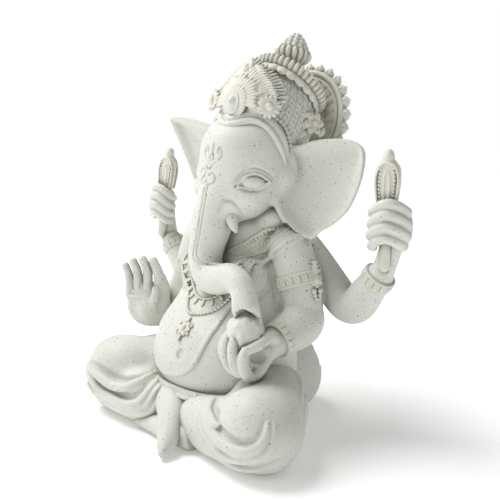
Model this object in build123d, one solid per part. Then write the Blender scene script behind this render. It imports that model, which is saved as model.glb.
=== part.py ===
from build123d import *
import math
import os

# Seated four-armed elephant-headed idol in speckled cast stone, 180 mm tall.
# Millimetres, +Z up, facing -Y, its own left on +X. The origin is the middle of the
# underside of the seat, on the surface that it stands on.
# Each carved element is a casting of its own. Castings meet face to face: a later one is
# cut back to the ones that it sits on, and steel dowels hold the parts that carry load.

# ---------------------------------------------------------------- driving dimensions
HEAD_CENTRE = (3, -3, 119)
HEAD_TILT = 7.0                # degrees, the head leans to its own left
SKULL_RADII = (23, 23.5, 24)

BAND_LEAN = 40.0               # degrees, planes of the brow band and of the cap's rim
# Places on the crown, from here to the medallion, are in the head's frame.
BAND_CENTRE = (0, 1, 5.4)
BAND_RADIUS = 22.0
DOME_MIDDLE = (0, 5.5, 22)
RIM_CENTRE = (0, 11.5, 37.0)
RIM_RADIUS = 17.5
FINIAL_FOOT = (0, 19.6, 45.5)
HALO_CENTRE = (1, 31, 21.4)
MEDALLION_CENTRE = (0, -17.3, 28)
# each plate of the diadem: across, up, half width, half height
PLUMES = ((0, 35, 6, 12.5), (9, 31, 5.5, 10), (-9, 31, 5.5, 10), (17, 26, 4.5, 8), (-17, 26, 4.5, 8))
# each round flower: its centre, and the way that it faces in degrees
CROWN_FLOWERS = (
    ((18.2, -9.5, 27), 48),
    ((-18.2, -9.5, 27), -48),
    ((22.5, 13, 19), 88),
    ((-22.5, 13, 19), -88),
)
FINIAL_LEAN = 10.0
HALO_LEAN = 14.0
HALO_RADIUS = 25.0
HALO_THICK = 3.4
HALO_BEADS = 26
KNUCKLES_PER_SIDE = 7

EAR_THICK = 4.4
EAR_LEAN = {1: 15.0, -1: -8.0}     # the left ear's top leans back, the right one's forward
EAR_SWING = {1: 16.0, -1: -6.0}    # the left ear is swept back, the right one is held forward

SHOULDER = (29, -3, 83)        # these are on the left, and the right side mirrors them
ELBOW = (41, -2, 52)
WRIST = {1: (40.5, -21, 46), -1: (-45, -17, 43)}
KNEE = (48, -40, 16.5)
REAR_SHOULDER = (20, 14, 84)
REAR_ELBOW = (50, 12, 58)
REAR_WRIST = (67.5, 9.5, 76)
REAR_ARM_RADIUS = 7.2

PALM_CENTRE = (-47, -25, 53)   # raised right palm
PALM_TURN = 37.0               # degrees, the palm faces forward and inward
CUPPED_HAND = (33, -33, 43)    # left hand under the sweet
SWEET_CENTRE = (33, -35, 52.5)
SWEET_RADIUS = 8.0

DOWEL_RADIUS = 1.5
DOWEL_LENGTH = 14.0
PAD_THICK = 1.5


# ---------------------------------------------------------------- helpers
def side_of(point, side):
    """The point itself on the left side (1), or its mirror image on the right (-1)."""
    return (side * point[0], point[1], point[2])


def shifted(point, dx, dy, dz):
    return (point[0] + dx, point[1] + dy, point[2] + dz)


def ball(centre, radii, turn=(0, 0, 0)):
    """An ellipsoid of these three radii, turned and then placed."""
    return Location(tuple(centre), turn) * scale(Sphere(1.0), by=radii)


def limb(stations, side=(0, 1, 0)):
    """A loft of ellipses through (point, (wide, deep)) stations; wide lies square to side."""
    points = [Vector(*place) for place, _ in stations]
    sections = []
    for i, (_, radii) in enumerate(stations):
        along = points[min(i + 1, len(points) - 1)] - points[max(i - 1, 0)]
        wide, deep = radii if isinstance(radii, tuple) else (radii, radii)
        plane = Plane(origin=points[i], x_dir=Vector(*side).cross(along), z_dir=along)
        sections.append(plane * Ellipse(wide, deep))
    return loft(sections)


def stack(levels):
    """A body of level ellipses: (height, middle y, half width, half depth) for each."""
    return loft([Pos(0, y, z) * Ellipse(wide, deep) for z, y, wide, deep in levels])


def one(shape):
    """The largest solid of a cut shape, which drops slivers left by curved cuts."""
    return max(shape.solids(), key=lambda solid: solid.volume)


def cut(shape, *others):
    """The shape less each of the others, as one solid."""
    for other in others:
        shape = shape - other
    return one(shape)


def cut_each(shapes, *others, least=0.35):
    """A set of like pieces, each cut back to the others.

    A piece that keeps no more than this least share of its volume is left out.
    """
    kept = []
    for shape in shapes:
        left = shape
        for other in others:
            if left.solids():
                left = left - other
        if left.volume > least * shape.volume:
            kept.append(one(left))
    return kept


def above_ground(shape):
    """The shape less what would lie below the surface that the idol stands on."""
    return shape - Box(400, 400, 60, align=(Align.CENTER, Align.CENTER, Align.MAX))


def ring(inner, outer, width):
    return Cylinder(outer, width) - Cylinder(inner, width)


head_frame = Location(HEAD_CENTRE, (0, HEAD_TILT, 0))


# ---------------------------------------------------------------- body
def make_torso():
    """Belly, chest and neck."""
    return stack([
        (0, -8, 27, 22),
        (8, -10, 31, 26),
        (20, -13, 34, 29.5),
        (33, -14.5, 35, 31),
        (46, -13, 33.5, 29),
        (58, -8, 30, 23.5),
        (70, -4, 29, 19.5),
        (80, -1, 27, 16.5),
        (88, 0, 21, 14),
        (94, 0, 15, 12),
        (99, -1, 13, 11),
    ])


def make_belly_front():
    """The bare belly and chest, standing proud of the draped sides."""
    grown = stack([
        (20, -13.5, 34.8, 30.7),
        (33, -15, 35.8, 32.2),
        (46, -13.5, 34.3, 30.2),
        (58, -8.5, 30.8, 24.7),
        (68, -5.5, 29.9, 21),
    ])
    outline = Spline((-28, 66), (-29, 44), (-20, 31), (-4, 27), (8, 33), (17, 50), (24, 66))
    face = make_face([outline, Line((24, 66), (-28, 66))])
    return grown & (Rot(90, 0, 0) * extrude(face, 80))


def make_waistband():
    """The rolled cloth across the front, under the belly."""
    roll = stack([(13, -13, 35.5, 31), (17, -14, 37, 34), (23, -14.5, 37, 34), (26, -14.5, 36, 32)])
    return roll & Pos(0, -16, 0) * Box(100, 60, 60, align=(Align.CENTER, Align.MAX, Align.MIN))


def make_seat():
    """The draped hips behind and below the belly."""
    return above_ground(ball((0, 9, 19), (30.5, 30, 27)))


def make_leg(side):
    """A crossed leg under its cloth: thigh, knee and shin in one casting."""
    thigh = ball((side * 34, -22, 17.5), (31, 17.5, 18), (0, 0, side * -48))
    knee = ball(side_of(KNEE, side), (16.5, 16.5, 17.5))
    shin = ball((side * 28, -44, 12), (26, 11.5, 12.5), (0, 0, side * -4))
    return one(above_ground(thigh + knee + shin))


def make_foot_right():
    """The upper foot: out of the right leg, over the middle, pointing forward and down."""
    return one(above_ground(limb([
        ((-12, -41, 14), (9, 7)),
        ((-4, -43, 14.5), (8, 8)),
        ((2, -47, 12.5), (7, 7.5)),
        ((8, -55, 8), (5, 6.5)),
        ((12.5, -61, 4.5), (3.6, 4.6)),
        ((14.5, -64.5, 2.6), (2, 2.6)),
    ], side=(0, 0, 1))))


def make_foot_left():
    """The lower foot: out of the left leg, pointing to the right."""
    return one(above_ground(limb([
        ((12, -49, 6), (6.5, 6)),
        ((0, -49.5, 5.2), (6.5, 5.4)),
        ((-11, -49, 4.2), (5.5, 4.4)),
        ((-18, -50, 3.2), (3.4, 3.2)),
        ((-20.5, -50.5, 2.8), (1.8, 2)),
    ], side=(0, 0, 1))))


# ---------------------------------------------------------------- arms and hands
def make_front_arm(side):
    """Upper arm and forearm of a front arm, from the shoulder to the wrist."""
    shoulder, elbow, wrist = side_of(SHOULDER, side), side_of(ELBOW, side), WRIST[side]
    upper = limb([
        (shoulder, 9.5),
        (side_of((33, -3, 72), side), 9.4),
        (side_of((37.5, -2.5, 62), side), 8.8),
        (elbow, 8),
    ])
    middle = tuple((a + b) / 2 for a, b in zip(elbow, wrist))
    fore = limb([(elbow, 9), (middle, 8.4), (wrist, 6.2)], side=(0, 0, 1))
    return one(upper + fore + ball(elbow, (9.4, 9.4, 9.4)) + ball(shoulder, (10, 10, 10)))


def make_rear_arm(side):
    """Upper arm and forearm of a rear arm, bent up at the elbow."""
    elbow, wrist = side_of(REAR_ELBOW, side), side_of(REAR_WRIST, side)
    upper = limb([
        (side_of(REAR_SHOULDER, side), 7.5),
        (side_of((36, 13.5, 71), side), REAR_ARM_RADIUS + 0.4),
        (elbow, REAR_ARM_RADIUS),
    ])
    fore = limb([
        (elbow, REAR_ARM_RADIUS + 0.4),
        (side_of((59, 10.5, 67), side), REAR_ARM_RADIUS),
        (wrist, 5.6),
    ])
    return one(upper + fore + ball(elbow, (8, 8, 8)))


def make_hand_right():
    """The raised open palm: palm, thumb and four fingers held together."""
    shape = ball((0, 0, -4), (10.5, 4.8, 12.5)) + ball((5, -3, -6), (5.5, 4, 8))
    for i, tip in enumerate((16, 20, 21.5, 19.5)):
        x = -7.3 + 4.8 * i
        shape = shape + limb([((x, 0, -2), 2.9), ((x, -0.4, 9), 2.8), ((x, -2.2, tip), 2.1)])
    shape = shape + limb([((6.5, -3, -6), 3.6), ((8.6, -4.5, 0), 3.0), ((8.6, -5, 6), 2.0)])
    return one(Location(PALM_CENTRE, (0, 0, PALM_TURN)) * shape)


def make_hand_left():
    """The cupped hand under the sweet, three fingers curled up and the thumb to one side."""
    shape = ball((0, 0, -1), (10, 8.5, 6.5)) + ball((4, 6, 1), (7, 8, 5.5))
    for i in range(3):
        x = -11 + 3.4 * i
        y = 3 - 3.8 * i
        shape = shape + limb([((x + 4, y + 1, -6), 2.6), ((x, y, -2), 2.6), ((x, y, 5), 2.4)])
    shape = shape + limb([((1, -8, -5), 2.8), ((0, -10, 1), 2.7), ((6, -8, 5), 2.5)])
    return one(Location(CUPPED_HAND) * shape)


def make_fist(side):
    """A rear hand closed round the shaft of its goad."""
    shape = limb([
        ((0.5, 0, 2), (5.4, 4.6)),
        ((5, 0, 10), (6.6, 4.8)),
        ((8, -1, 20), (6.4, 4.4)),
        ((7, -1.5, 31), (5, 3.6)),
    ])
    for i in range(4):
        z = 14 + 5.0 * i
        shape = shape + limb([
            ((13, -1, z - 1), 2.5),
            ((7, -7.5, z + 0.8), 2.5),
            ((1, -8.5, z), 2.5),
            ((-3.5, -4.5, z - 1.6), 2.3),
        ], side=(0, 0, 1))
    wrist = side_of(REAR_WRIST, side)
    if side < 0:
        shape = mirror(shape, about=Plane.YZ)
    return one(Location(wrist) * shape)


def make_goad(side):
    """The short goad in a rear fist: shaft, paddle-shaped head and a knob on top."""
    shaft = Cylinder(2.6, 33, align=(Align.CENTER, Align.CENTER, Align.MIN))
    paddle = Pos(0, 0, 35) * Rot(90, 0, 0) * extrude(Ellipse(6, 10), 2.6, both=True)
    knob = Pos(0, 0, 46.5) * Sphere(2.4)
    foot = shifted(side_of(REAR_WRIST, side), side * 4.5, -4.5, 3)
    return one(Location(foot) * (shaft + paddle + knob))


def make_bracelet(centre, along, inner, width=4.4, thick=1.5):
    """A band round a wrist."""
    return Plane(origin=centre, z_dir=along) * ring(inner - 1.0, inner + thick, width)


def make_armlet(side):
    """A band round the upper arm with a flower ornament on its outside."""
    centre = side_of((33.5, -3, 70.5), side)
    band = make_bracelet(centre, (side * 0.35, 0, -1), 9.4, width=5.0, thick=1.4)
    facing = Location((side * 42.5, -5, 71), (0, side * -20, side * 75)) * Rot(90, 0, 0)
    return band + facing * Cylinder(4.6, 3)


# ---------------------------------------------------------------- head
def make_head():
    """Skull, cheeks and jaw."""
    return one(head_frame * (ball((0, 0, 0), SKULL_RADII) + ball((0, -3, -13), (15, 14, 11))))


def make_trunk():
    """The trunk: down from the brow, across to the idol's left and down to the sweet."""
    return one(limb([
        ((2.6, -14, 116), (12.5, 9)),
        ((2.2, -19, 107), (11, 9.4)),
        ((0.6, -22.5, 97), (9, 8.8)),
        ((-1.2, -24.5, 87), (7.8, 8)),
        ((-1.5, -26.5, 78), (7.6, 7.4)),
        ((2.5, -28, 71.5), (7.2, 7.2)),
        ((11, -29.5, 71), (6.6, 6.6)),
        ((20, -31, 73), (6.0, 6.0)),
        ((27, -32.5, 71), (5.6, 5.4)),
        ((31, -34, 66), (5.0, 5.0)),
        ((32, -35, 61.5), (5.6, 5.4)),
    ]))


def make_ear(side):
    """A broad ear, held out from the side of the head: an arched plate with a rolled top."""
    outline = Spline(
        (19, 9), (31, 17), (45, 19.5), (52, 15), (54, 1), (49, -15),
        (41, -25), (32, -23.5), (23, -14), (19, -2), periodic=True,
    )
    flap = Rot(90, 0, 0) * extrude(make_face(outline), EAR_THICK / 2, both=True)
    hinge = Pos(20, 3, 0) * Rot(-EAR_LEAN[side], 0, EAR_SWING[side]) * Pos(-20, 0, 0) * flap
    if side < 0:
        hinge = mirror(hinge, about=Plane.YZ)
    return one(head_frame * hinge)


def make_tusk(side):
    """A short blunt tusk beside the trunk's root."""
    return head_frame * limb([
        ((side * 9.5, -17, -16), 3.4),
        ((side * 10.5, -19, -21), 3.2),
        ((side * 10.5, -20, -26), 2.2),
    ])


# ---------------------------------------------------------------- crown
def tilted(centre, offset=0.0):
    """A plane of the crown: square to an axis that leans back by BAND_LEAN."""
    return head_frame * Location(centre, (-BAND_LEAN, 0, 0)) * Pos(0, 0, offset)


def make_crown_dome():
    """The dome from the brow band up to the cap's rim."""
    return loft([
        tilted(BAND_CENTRE) * Circle(BAND_RADIUS - 1.5),
        tilted(DOME_MIDDLE) * Circle(BAND_RADIUS - 0.5),
        tilted(RIM_CENTRE) * Circle(RIM_RADIUS - 1.5),
    ])


def make_crown_band():
    """The double roll over the brow, from ear to ear."""
    front = head_frame * Pos(0, -40, 0) * Box(120, 82, 120)
    return (tilted(BAND_CENTRE, 1) * ring(BAND_RADIUS - 4, BAND_RADIUS + 1.6, 6)) & front


def make_crown_cap():
    """The cushion that closes the dome above its rim, up to the finial."""
    cap = tilted(RIM_CENTRE) * ball((0, 0, 0), (RIM_RADIUS - 2.5, RIM_RADIUS - 2.5, 12.5))
    return cap & (tilted(RIM_CENTRE) * Cylinder(30, 30, align=(Align.CENTER, Align.CENTER, Align.MIN)))


def make_frill():
    """The pleated ribbon that stands up round the cap's rim."""
    return tilted(RIM_CENTRE, 1.6) * ring(RIM_RADIUS - 3.2, RIM_RADIUS + 1.8, 3.2)


def make_knuckles():
    """The rounded knuckles under the frill, clear of the diadem in front and the hub behind."""
    place = tilted(RIM_CENTRE, -2.1)
    knuckles = []
    for side in (1, -1):
        for i in range(KNUCKLES_PER_SIDE):
            angle = -90 + side * (40 + 13.5 * i)
            spot = Rot(0, 0, angle) * Pos(RIM_RADIUS + 1.3, 0, 0)
            knuckles.append(place * spot * ball((0, 0, 0), (1.9, 2.0, 1.9)))
    return knuckles


def make_finial():
    """The knop on top: a neck, a flared lotus and a stepped cone."""
    profile = Polyline(
        (0, -3), (4.4, -3), (4.6, 2), (8.2, 6), (8, 8.5), (6.2, 9), (5.6, 11), (4.2, 11.4), (3.6, 13.4),
        (2.4, 13.8), (1.8, 16), (0, 16.6), (0, -3),
    )
    knop = revolve(Plane.XZ * make_face(profile), Axis.Z)
    return head_frame * Location(FINIAL_FOOT, (-FINIAL_LEAN, 0, 0)) * knop


halo_frame = head_frame * Location(HALO_CENTRE, (90 - HALO_LEAN, 0, 0))


def make_halo():
    """The ribbed disc behind the crown, with its hub and raised rim ring."""
    hub = Pos(0, 0, 6) * Cylinder(13, 12)
    rim = Pos(0, 0, HALO_THICK / 2) * ring(HALO_RADIUS - 3, HALO_RADIUS, 2)
    return halo_frame * (Cylinder(HALO_RADIUS, HALO_THICK) + hub + rim)


def make_halo_beads():
    """The round beads set along the disc's edge, each a separate solid."""
    beads = []
    for i in range(HALO_BEADS):
        spot = Rot(0, 0, 360 / HALO_BEADS * i) * Pos(HALO_RADIUS + 1.2, 0, 0)
        beads.append(halo_frame * spot * ball((0, 0, 0), (2.4, 2.5, 2)))
    return beads


def make_plumes():
    """The feathered plates of the diadem: the tall middle one and two lower pairs."""
    plumes = []
    for x, z, wide, tall in PLUMES:
        plate = extrude(Ellipse(wide, tall), 1.3, both=True)
        swept_back = 0.03 * x * x
        y = swept_back + 0.225 * z - 22.4
        place = Location((x, y, z), (0, 0, 1.6 * x)) * Rot(80, 0, 0)
        plumes.append(head_frame * place * plate)
    return plumes


def make_medallion():
    """The oval boss in the middle of the diadem."""
    boss = extrude(Ellipse(4.4, 5.6), 1.4, both=True) + ball((0, 0, 1.2), (2.8, 3.4, 2.2))
    return head_frame * Location(MEDALLION_CENTRE, (74, 0, 0)) * boss


def make_flowers():
    """Round flowers at the ends of the diadem, and beside the halo's hub."""
    flowers = []
    for centre, facing in CROWN_FLOWERS:
        flower = Cylinder(4.8, 2.4) + ball((0, 0, 1.2), (2, 2, 1.4))
        flowers.append(head_frame * Location(centre, (0, 0, facing)) * Rot(76, 0, 0) * flower)
    return flowers


# ---------------------------------------------------------------- jewellery
def make_collar():
    """The broad jewelled collar round the neck."""
    return stack([
        (78, -4, 28.6, 19.5),
        (82, -3.2, 27.2, 18.2),
        (87, -2.2, 22.8, 16),
        (92, -1.2, 17.2, 13.8),
    ])


def make_bead_string(torso):
    """The long string of beads that hangs onto the belly, each bead a solid of its own."""
    beads = []
    count = 29
    for i in range(count):
        turn = math.pi * i / (count - 1)
        x = -21 * math.cos(turn)
        z = 79 - 24.5 * math.sin(turn) ** 0.75
        level = torso & Pos(x, -40, z) * Box(0.1, 80, 0.1)
        y = level.bounding_box().min.Y
        beads.append(Pos(x, y - 2.0, z) * Sphere(1.3))
    return beads


def make_pendant():
    """The flower-shaped drop at the bottom of the bead string."""
    return Location((0, -42.3, 49), (68, 0, 0)) * Cylinder(4.8, 2.4)


# ---------------------------------------------------------------- fixings
def dowel(start, end):
    """A steel dowel across the joint at start, pointing at end."""
    return Plane(origin=start, z_dir=Vector(*end) - Vector(*start)) * Cylinder(DOWEL_RADIUS, DOWEL_LENGTH)


def make_dowels():
    """Every dowel, with the names of the castings that it is bored into."""
    dowels = [
        (dowel((1, -1, 99), (1.6, -1, 110)), ("torso", "head")),
        (head_frame * dowel((0, 8, 19), (0, 12, 30)), ("head", "crown_dome")),
        (head_frame * dowel((0, 17, 40), (0, 20, 46)), ("crown_dome", "crown_cap", "finial")),
    ]
    for side, name in ((1, "left"), (-1, "right")):
        dowels.append((dowel(side_of((25, -3, 71), side), side_of((33, -3, 70), side)),
                       ("torso", f"front_arm_{name}")))
        dowels.append((dowel(side_of((20, 9, 74), side), side_of((27, 14, 71), side)),
                       ("torso", f"rear_arm_{name}")))
    return dowels


def make_pad():
    """The felt pad let into the underside, flush with it."""
    return Pos(0, -6, 0) * extrude(Ellipse(20, 16), PAD_THICK)


# ---------------------------------------------------------------- assembly
def build_nodes():
    """Every node by name, each cut back to the castings that it sits on."""
    pad = make_pad()
    torso = cut(make_torso(), pad)
    nodes = {"torso": torso, "felt_pad": pad}
    nodes["dhoti_seat"] = cut(make_seat(), torso)
    nodes["leg_left"] = cut(make_leg(1), torso, nodes["dhoti_seat"])
    nodes["leg_right"] = cut(make_leg(-1), torso, nodes["dhoti_seat"], nodes["leg_left"])
    legs = (nodes["leg_left"], nodes["leg_right"])
    nodes["foot_right"] = cut(make_foot_right(), torso, *legs)
    nodes["foot_left"] = cut(make_foot_left(), torso, nodes["foot_right"], *legs)
    nodes["waistband"] = cut(make_waistband(), torso, nodes["dhoti_seat"], nodes["foot_right"], *legs)
    nodes["belly_front"] = cut(make_belly_front(), torso, nodes["waistband"])

    nodes["head"] = cut(make_head(), torso)
    nodes["trunk"] = cut(make_trunk(), nodes["head"], torso, nodes["belly_front"])
    nodes["crown_dome"] = cut(make_crown_dome(), nodes["head"])
    nodes["crown_cap"] = cut(make_crown_cap(), nodes["crown_dome"])
    crown = (nodes["head"], nodes["crown_dome"], nodes["crown_cap"])
    nodes["crown_band"] = cut(make_crown_band(), *crown)
    nodes["crown_frill"] = cut(make_frill(), *crown)
    nodes["finial"] = cut(make_finial(), *crown)
    nodes["halo_disc"] = cut(make_halo(), *crown, nodes["crown_frill"])
    nodes["collar"] = cut(make_collar(), torso, nodes["head"], nodes["trunk"])

    for side, name in ((1, "left"), (-1, "right")):
        arm = cut(make_front_arm(side), torso, nodes["belly_front"], nodes["collar"], legs[0], legs[1])
        nodes[f"front_arm_{name}"] = arm
        rear = cut(make_rear_arm(side), torso, nodes["collar"], arm, nodes["dhoti_seat"])
        nodes[f"rear_arm_{name}"] = rear
        nodes[f"ear_{name}"] = cut(make_ear(side), nodes["head"], nodes["crown_band"], torso,
                                   nodes["collar"], nodes["crown_dome"], nodes["halo_disc"], arm, rear)
        nodes[f"tusk_{name}"] = cut(make_tusk(side), nodes["head"], nodes["trunk"])
        nodes[f"goad_{name}"] = make_goad(side)
        nodes[f"fist_{name}"] = cut(make_fist(side), nodes[f"goad_{name}"], rear)
        nodes[f"armlet_{name}"] = cut(make_armlet(side), arm, torso, rear, nodes["belly_front"])
        fist_wrist = side_of(shifted(REAR_WRIST, -1.0, 0.2, -1.5), side)
        nodes[f"rear_bracelet_{name}"] = cut(
            make_bracelet(fist_wrist, (side * 0.6, -0.08, 0.8), 5.8), rear, nodes[f"fist_{name}"],
            nodes[f"goad_{name}"])

    nodes["laddoo"] = cut(ball(SWEET_CENTRE, (SWEET_RADIUS, SWEET_RADIUS, SWEET_RADIUS)), nodes["trunk"])
    nodes["hand_left"] = cut(make_hand_left(), nodes["laddoo"], nodes["front_arm_left"], torso,
                             nodes["belly_front"], nodes["trunk"])
    nodes["hand_right"] = cut(make_hand_right(), nodes["front_arm_right"], nodes["leg_right"])
    for side, name in ((1, "left"), (-1, "right")):
        wrist = shifted(WRIST[side], 0, 2.2, 0.7)
        along = Vector(*WRIST[side]) - Vector(*side_of(ELBOW, side))
        nodes[f"front_bracelet_{name}"] = cut(
            make_bracelet(wrist, along, 6.6), nodes[f"front_arm_{name}"], nodes[f"hand_{name}"],
            nodes[f"leg_{name}"], torso, nodes["belly_front"])

    sat_on = [nodes["crown_dome"], nodes["crown_band"], nodes["crown_frill"], nodes["head"]]
    ears = [nodes["ear_left"], nodes["ear_right"]]
    nodes["medallion"] = cut(make_medallion(), *sat_on)
    plumes = []
    for plume in make_plumes():
        plumes.append(cut(plume, nodes["medallion"], *sat_on, *plumes))
    nodes["diadem_plumes"] = Compound(children=plumes)
    flowers = cut_each(make_flowers(), *sat_on, *plumes, nodes["halo_disc"], *ears)
    nodes["crown_flowers"] = Compound(children=flowers)
    nodes["crown_knuckles"] = Compound(children=make_knuckles())
    beads = cut_each(make_halo_beads(), nodes["halo_disc"], nodes["crown_frill"], nodes["head"], *ears)
    nodes["halo_beads"] = Compound(children=beads)

    nodes["pendant"] = cut(make_pendant(), torso, nodes["belly_front"])
    string = cut_each(make_bead_string(torso), torso, nodes["belly_front"], nodes["collar"],
                      nodes["trunk"], nodes["pendant"], least=0.6)
    nodes["bead_string"] = Compound(children=string)

    dowels = []
    for pin, castings in make_dowels():
        dowels.append(pin)
        for casting in castings:
            nodes[casting] = cut(nodes[casting], pin)
    nodes["dowel_pins"] = Compound(children=dowels)
    return nodes


os.makedirs("parts", exist_ok=True)
for node_name, node in build_nodes().items():
    export_step(node, f"parts/{node_name}.step")
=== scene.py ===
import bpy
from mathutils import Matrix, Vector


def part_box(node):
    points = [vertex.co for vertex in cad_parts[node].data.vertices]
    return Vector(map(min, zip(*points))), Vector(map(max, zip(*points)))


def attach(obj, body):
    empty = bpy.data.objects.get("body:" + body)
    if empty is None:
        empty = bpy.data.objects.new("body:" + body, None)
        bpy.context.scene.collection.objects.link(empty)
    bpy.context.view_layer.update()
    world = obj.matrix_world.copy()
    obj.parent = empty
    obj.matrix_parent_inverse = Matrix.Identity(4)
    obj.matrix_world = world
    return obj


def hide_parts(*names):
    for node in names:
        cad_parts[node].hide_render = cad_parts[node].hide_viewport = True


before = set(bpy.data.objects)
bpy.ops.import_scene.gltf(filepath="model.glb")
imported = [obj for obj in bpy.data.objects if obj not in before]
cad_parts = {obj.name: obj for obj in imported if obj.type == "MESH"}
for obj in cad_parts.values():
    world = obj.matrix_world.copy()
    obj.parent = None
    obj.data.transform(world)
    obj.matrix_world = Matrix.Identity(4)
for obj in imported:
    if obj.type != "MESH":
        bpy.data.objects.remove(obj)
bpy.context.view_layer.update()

import math

import bpy
import numpy as np
import openvdb as vdb
from mathutils import Matrix, Vector

# The idol is sculpted as clay: signed-distance fields on regular grids, in millimetres.
# Positive is outside. Every piece stands on the place that its CAD node holds.
MM = 0.001
BAND = 3.0                     # how far from a surface its field is kept, mm
FAR = 9.0                      # the field's value where nothing has been modelled yet
SEAM_SINK = 0.06               # how far a lapped joint lies under its neighbour, mm
SEAM_LAP = 1.6                 # how far it reaches under it, mm
SHARP_DEGREES = 62             # edges steeper than this are shaded sharp
RNG = np.random.default_rng(7)


def centre_of(node, shift=(0.0, 0.0, 0.0)):
    """The middle of a CAD node's box, in millimetres, moved by shift."""
    low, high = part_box(node)
    return (np.array(low) + np.array(high)) / (2 * MM) + np.array(shift)


# ------------------------------------------------------------------ places
def turning(x=0.0, y=0.0, z=0.0):
    """A 3x3 turn by these degrees, about X first, then Y, then Z, in fixed axes."""
    turn = Matrix.Rotation(math.radians(z), 3, "Z")
    turn = turn @ Matrix.Rotation(math.radians(y), 3, "Y") @ Matrix.Rotation(math.radians(x), 3, "X")
    return np.array(turn)


class Place:
    """A local frame: world = turn @ local + origin. side -1 mirrors local x first."""

    def __init__(self, origin=(0, 0, 0), turn=None, side=1, parent=None):
        own = np.eye(3) if turn is None else turn
        mirror = np.diag([float(side), 1.0, 1.0])
        self.turn = own @ mirror
        self.origin = np.array(origin, float)
        if parent is not None:
            self.origin = parent.turn @ self.origin + parent.origin
            self.turn = parent.turn @ self.turn

    def out(self, points):
        """Local points to world ones."""
        return np.asarray(points, float) @ self.turn.T + self.origin

    def into(self, x, y, z):
        """World grids to local ones."""
        dx, dy, dz = x - self.origin[0], y - self.origin[1], z - self.origin[2]
        t = self.turn.astype(np.float32)
        return tuple(t[0, i] * dx + t[1, i] * dy + t[2, i] * dz for i in range(3))


WORLD = Place()


def flowing(points, per=5, closed=False):
    """A Catmull-Rom curve through the rows of points; every column is carried along."""
    p = np.asarray(points, float)
    n = len(p)
    if closed:
        ends = np.vstack([p[-1:], p, p[:2]])
        spans = n
    else:
        ends = np.vstack([2 * p[0] - p[1], p, 2 * p[-1] - p[-2]])
        spans = n - 1
    t = (np.arange(per) / per)[:, None]
    rows = []
    for i in range(spans):
        a, b, c, d = ends[i], ends[i + 1], ends[i + 2], ends[i + 3]
        rows.append(0.5 * (2 * b + (c - a) * t + (2 * a - 5 * b + 4 * c - d) * t**2
                           + (3 * b - a - 3 * c + d) * t**3))
    if not closed:
        rows.append(p[-1:])
    return np.vstack(rows)


# ------------------------------------------------------------------ shapes
class Egg:
    """An ellipsoid in a place."""

    def __init__(self, centre, radii, turn=None, place=WORLD):
        self.place = Place(centre, turn, parent=place)
        self.radii = np.broadcast_to(np.array(radii, float), (3,))

    def box(self):
        reach = np.sqrt(((self.place.turn * self.radii) ** 2).sum(axis=1))
        return self.place.origin - reach, self.place.origin + reach

    def fill(self, block):
        x, y, z = self.place.into(*block.grids())
        a, b, c = (float(r) for r in self.radii)
        near = np.sqrt((x / a) ** 2 + (y / b) ** 2 + (z / c) ** 2 + 1e-6)
        slope = np.sqrt((x / a**2) ** 2 + (y / b**2) ** 2 + (z / c**2) ** 2 + 1e-8)
        return near * (near - 1.0) / slope


def bead(at, size):
    """A small ball at a point."""
    return Egg(at, (size, size, size))


class Tube:
    """A round chain through (x, y, z, radius) rows. flat squeezes it along one direction."""

    def __init__(self, rows, per=5, closed=False, place=WORLD, flat=None):
        curve = flowing(rows, per, closed)
        self.points = place.out(curve[:, :3])
        self.radii = np.maximum(curve[:, 3], 0.02)
        if closed:
            self.points = np.vstack([self.points, self.points[:1]])
            self.radii = np.append(self.radii, self.radii[0])
        self.flat = flat

    def box(self):
        reach = self.radii[:, None]
        return (self.points - reach).min(axis=0), (self.points + reach).max(axis=0)

    def fill(self, block):
        out = np.full(block.shape(), FAR, np.float32)
        for i in range(len(self.points) - 1):
            a, b = self.points[i], self.points[i + 1]
            ra, rb = self.radii[i], self.radii[i + 1]
            pad = max(ra, rb) + BAND
            where, part = block.near(np.minimum(a, b) - pad, np.maximum(a, b) + pad)
            if part is None:
                continue
            x, y, z = part.grids()
            along = b - a
            length2 = float(along @ along) + 1e-9
            dx, dy, dz = x - a[0], y - a[1], z - a[2]
            t = np.clip((dx * along[0] + dy * along[1] + dz * along[2]) / length2, 0.0, 1.0)
            ex, ey, ez = dx - t * along[0], dy - t * along[1], dz - t * along[2]
            square = ex * ex + ey * ey + ez * ez
            if self.flat is not None:
                way, times = self.flat
                side = ex * way[0] + ey * way[1] + ez * way[2]
                square = square + (times * times - 1.0) * side * side
            d = np.sqrt(square) - (ra + t * (rb - ra))
            out[where] = np.minimum(out[where], d)
        return out


class Pile:
    """A stack of flat ellipses in a place, from (z, middle y, half width, half depth) rows."""

    def __init__(self, rows, place=WORLD, per=6):
        self.rows = flowing(rows, per)
        self.place = place

    def box(self):
        r = self.rows
        corners = []
        for sx in (-1, 1):
            for sy in (-1, 1):
                corners.append(np.column_stack([sx * r[:, 2], r[:, 1] + sy * r[:, 3], r[:, 0]]))
        p = self.place.out(np.vstack(corners))
        return p.min(axis=0), p.max(axis=0)

    def fill(self, block):
        x, y, z = self.place.into(*block.grids())
        r = self.rows
        z = z + np.zeros(1, np.float32)
        mid = np.interp(z, r[:, 0], r[:, 1]).astype(np.float32)
        a = np.interp(z, r[:, 0], r[:, 2]).astype(np.float32)
        b = np.interp(z, r[:, 0], r[:, 3]).astype(np.float32)
        y = y - mid
        near = np.sqrt((x / a) ** 2 + (y / b) ** 2 + 1e-6)
        slope = np.sqrt((x / a**2) ** 2 + (y / b**2) ** 2 + 1e-8)
        wall = near * (near - 1.0) / slope
        ends = np.maximum(r[0, 0] - z, z - r[-1, 0])
        return np.maximum(wall, ends)


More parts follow.
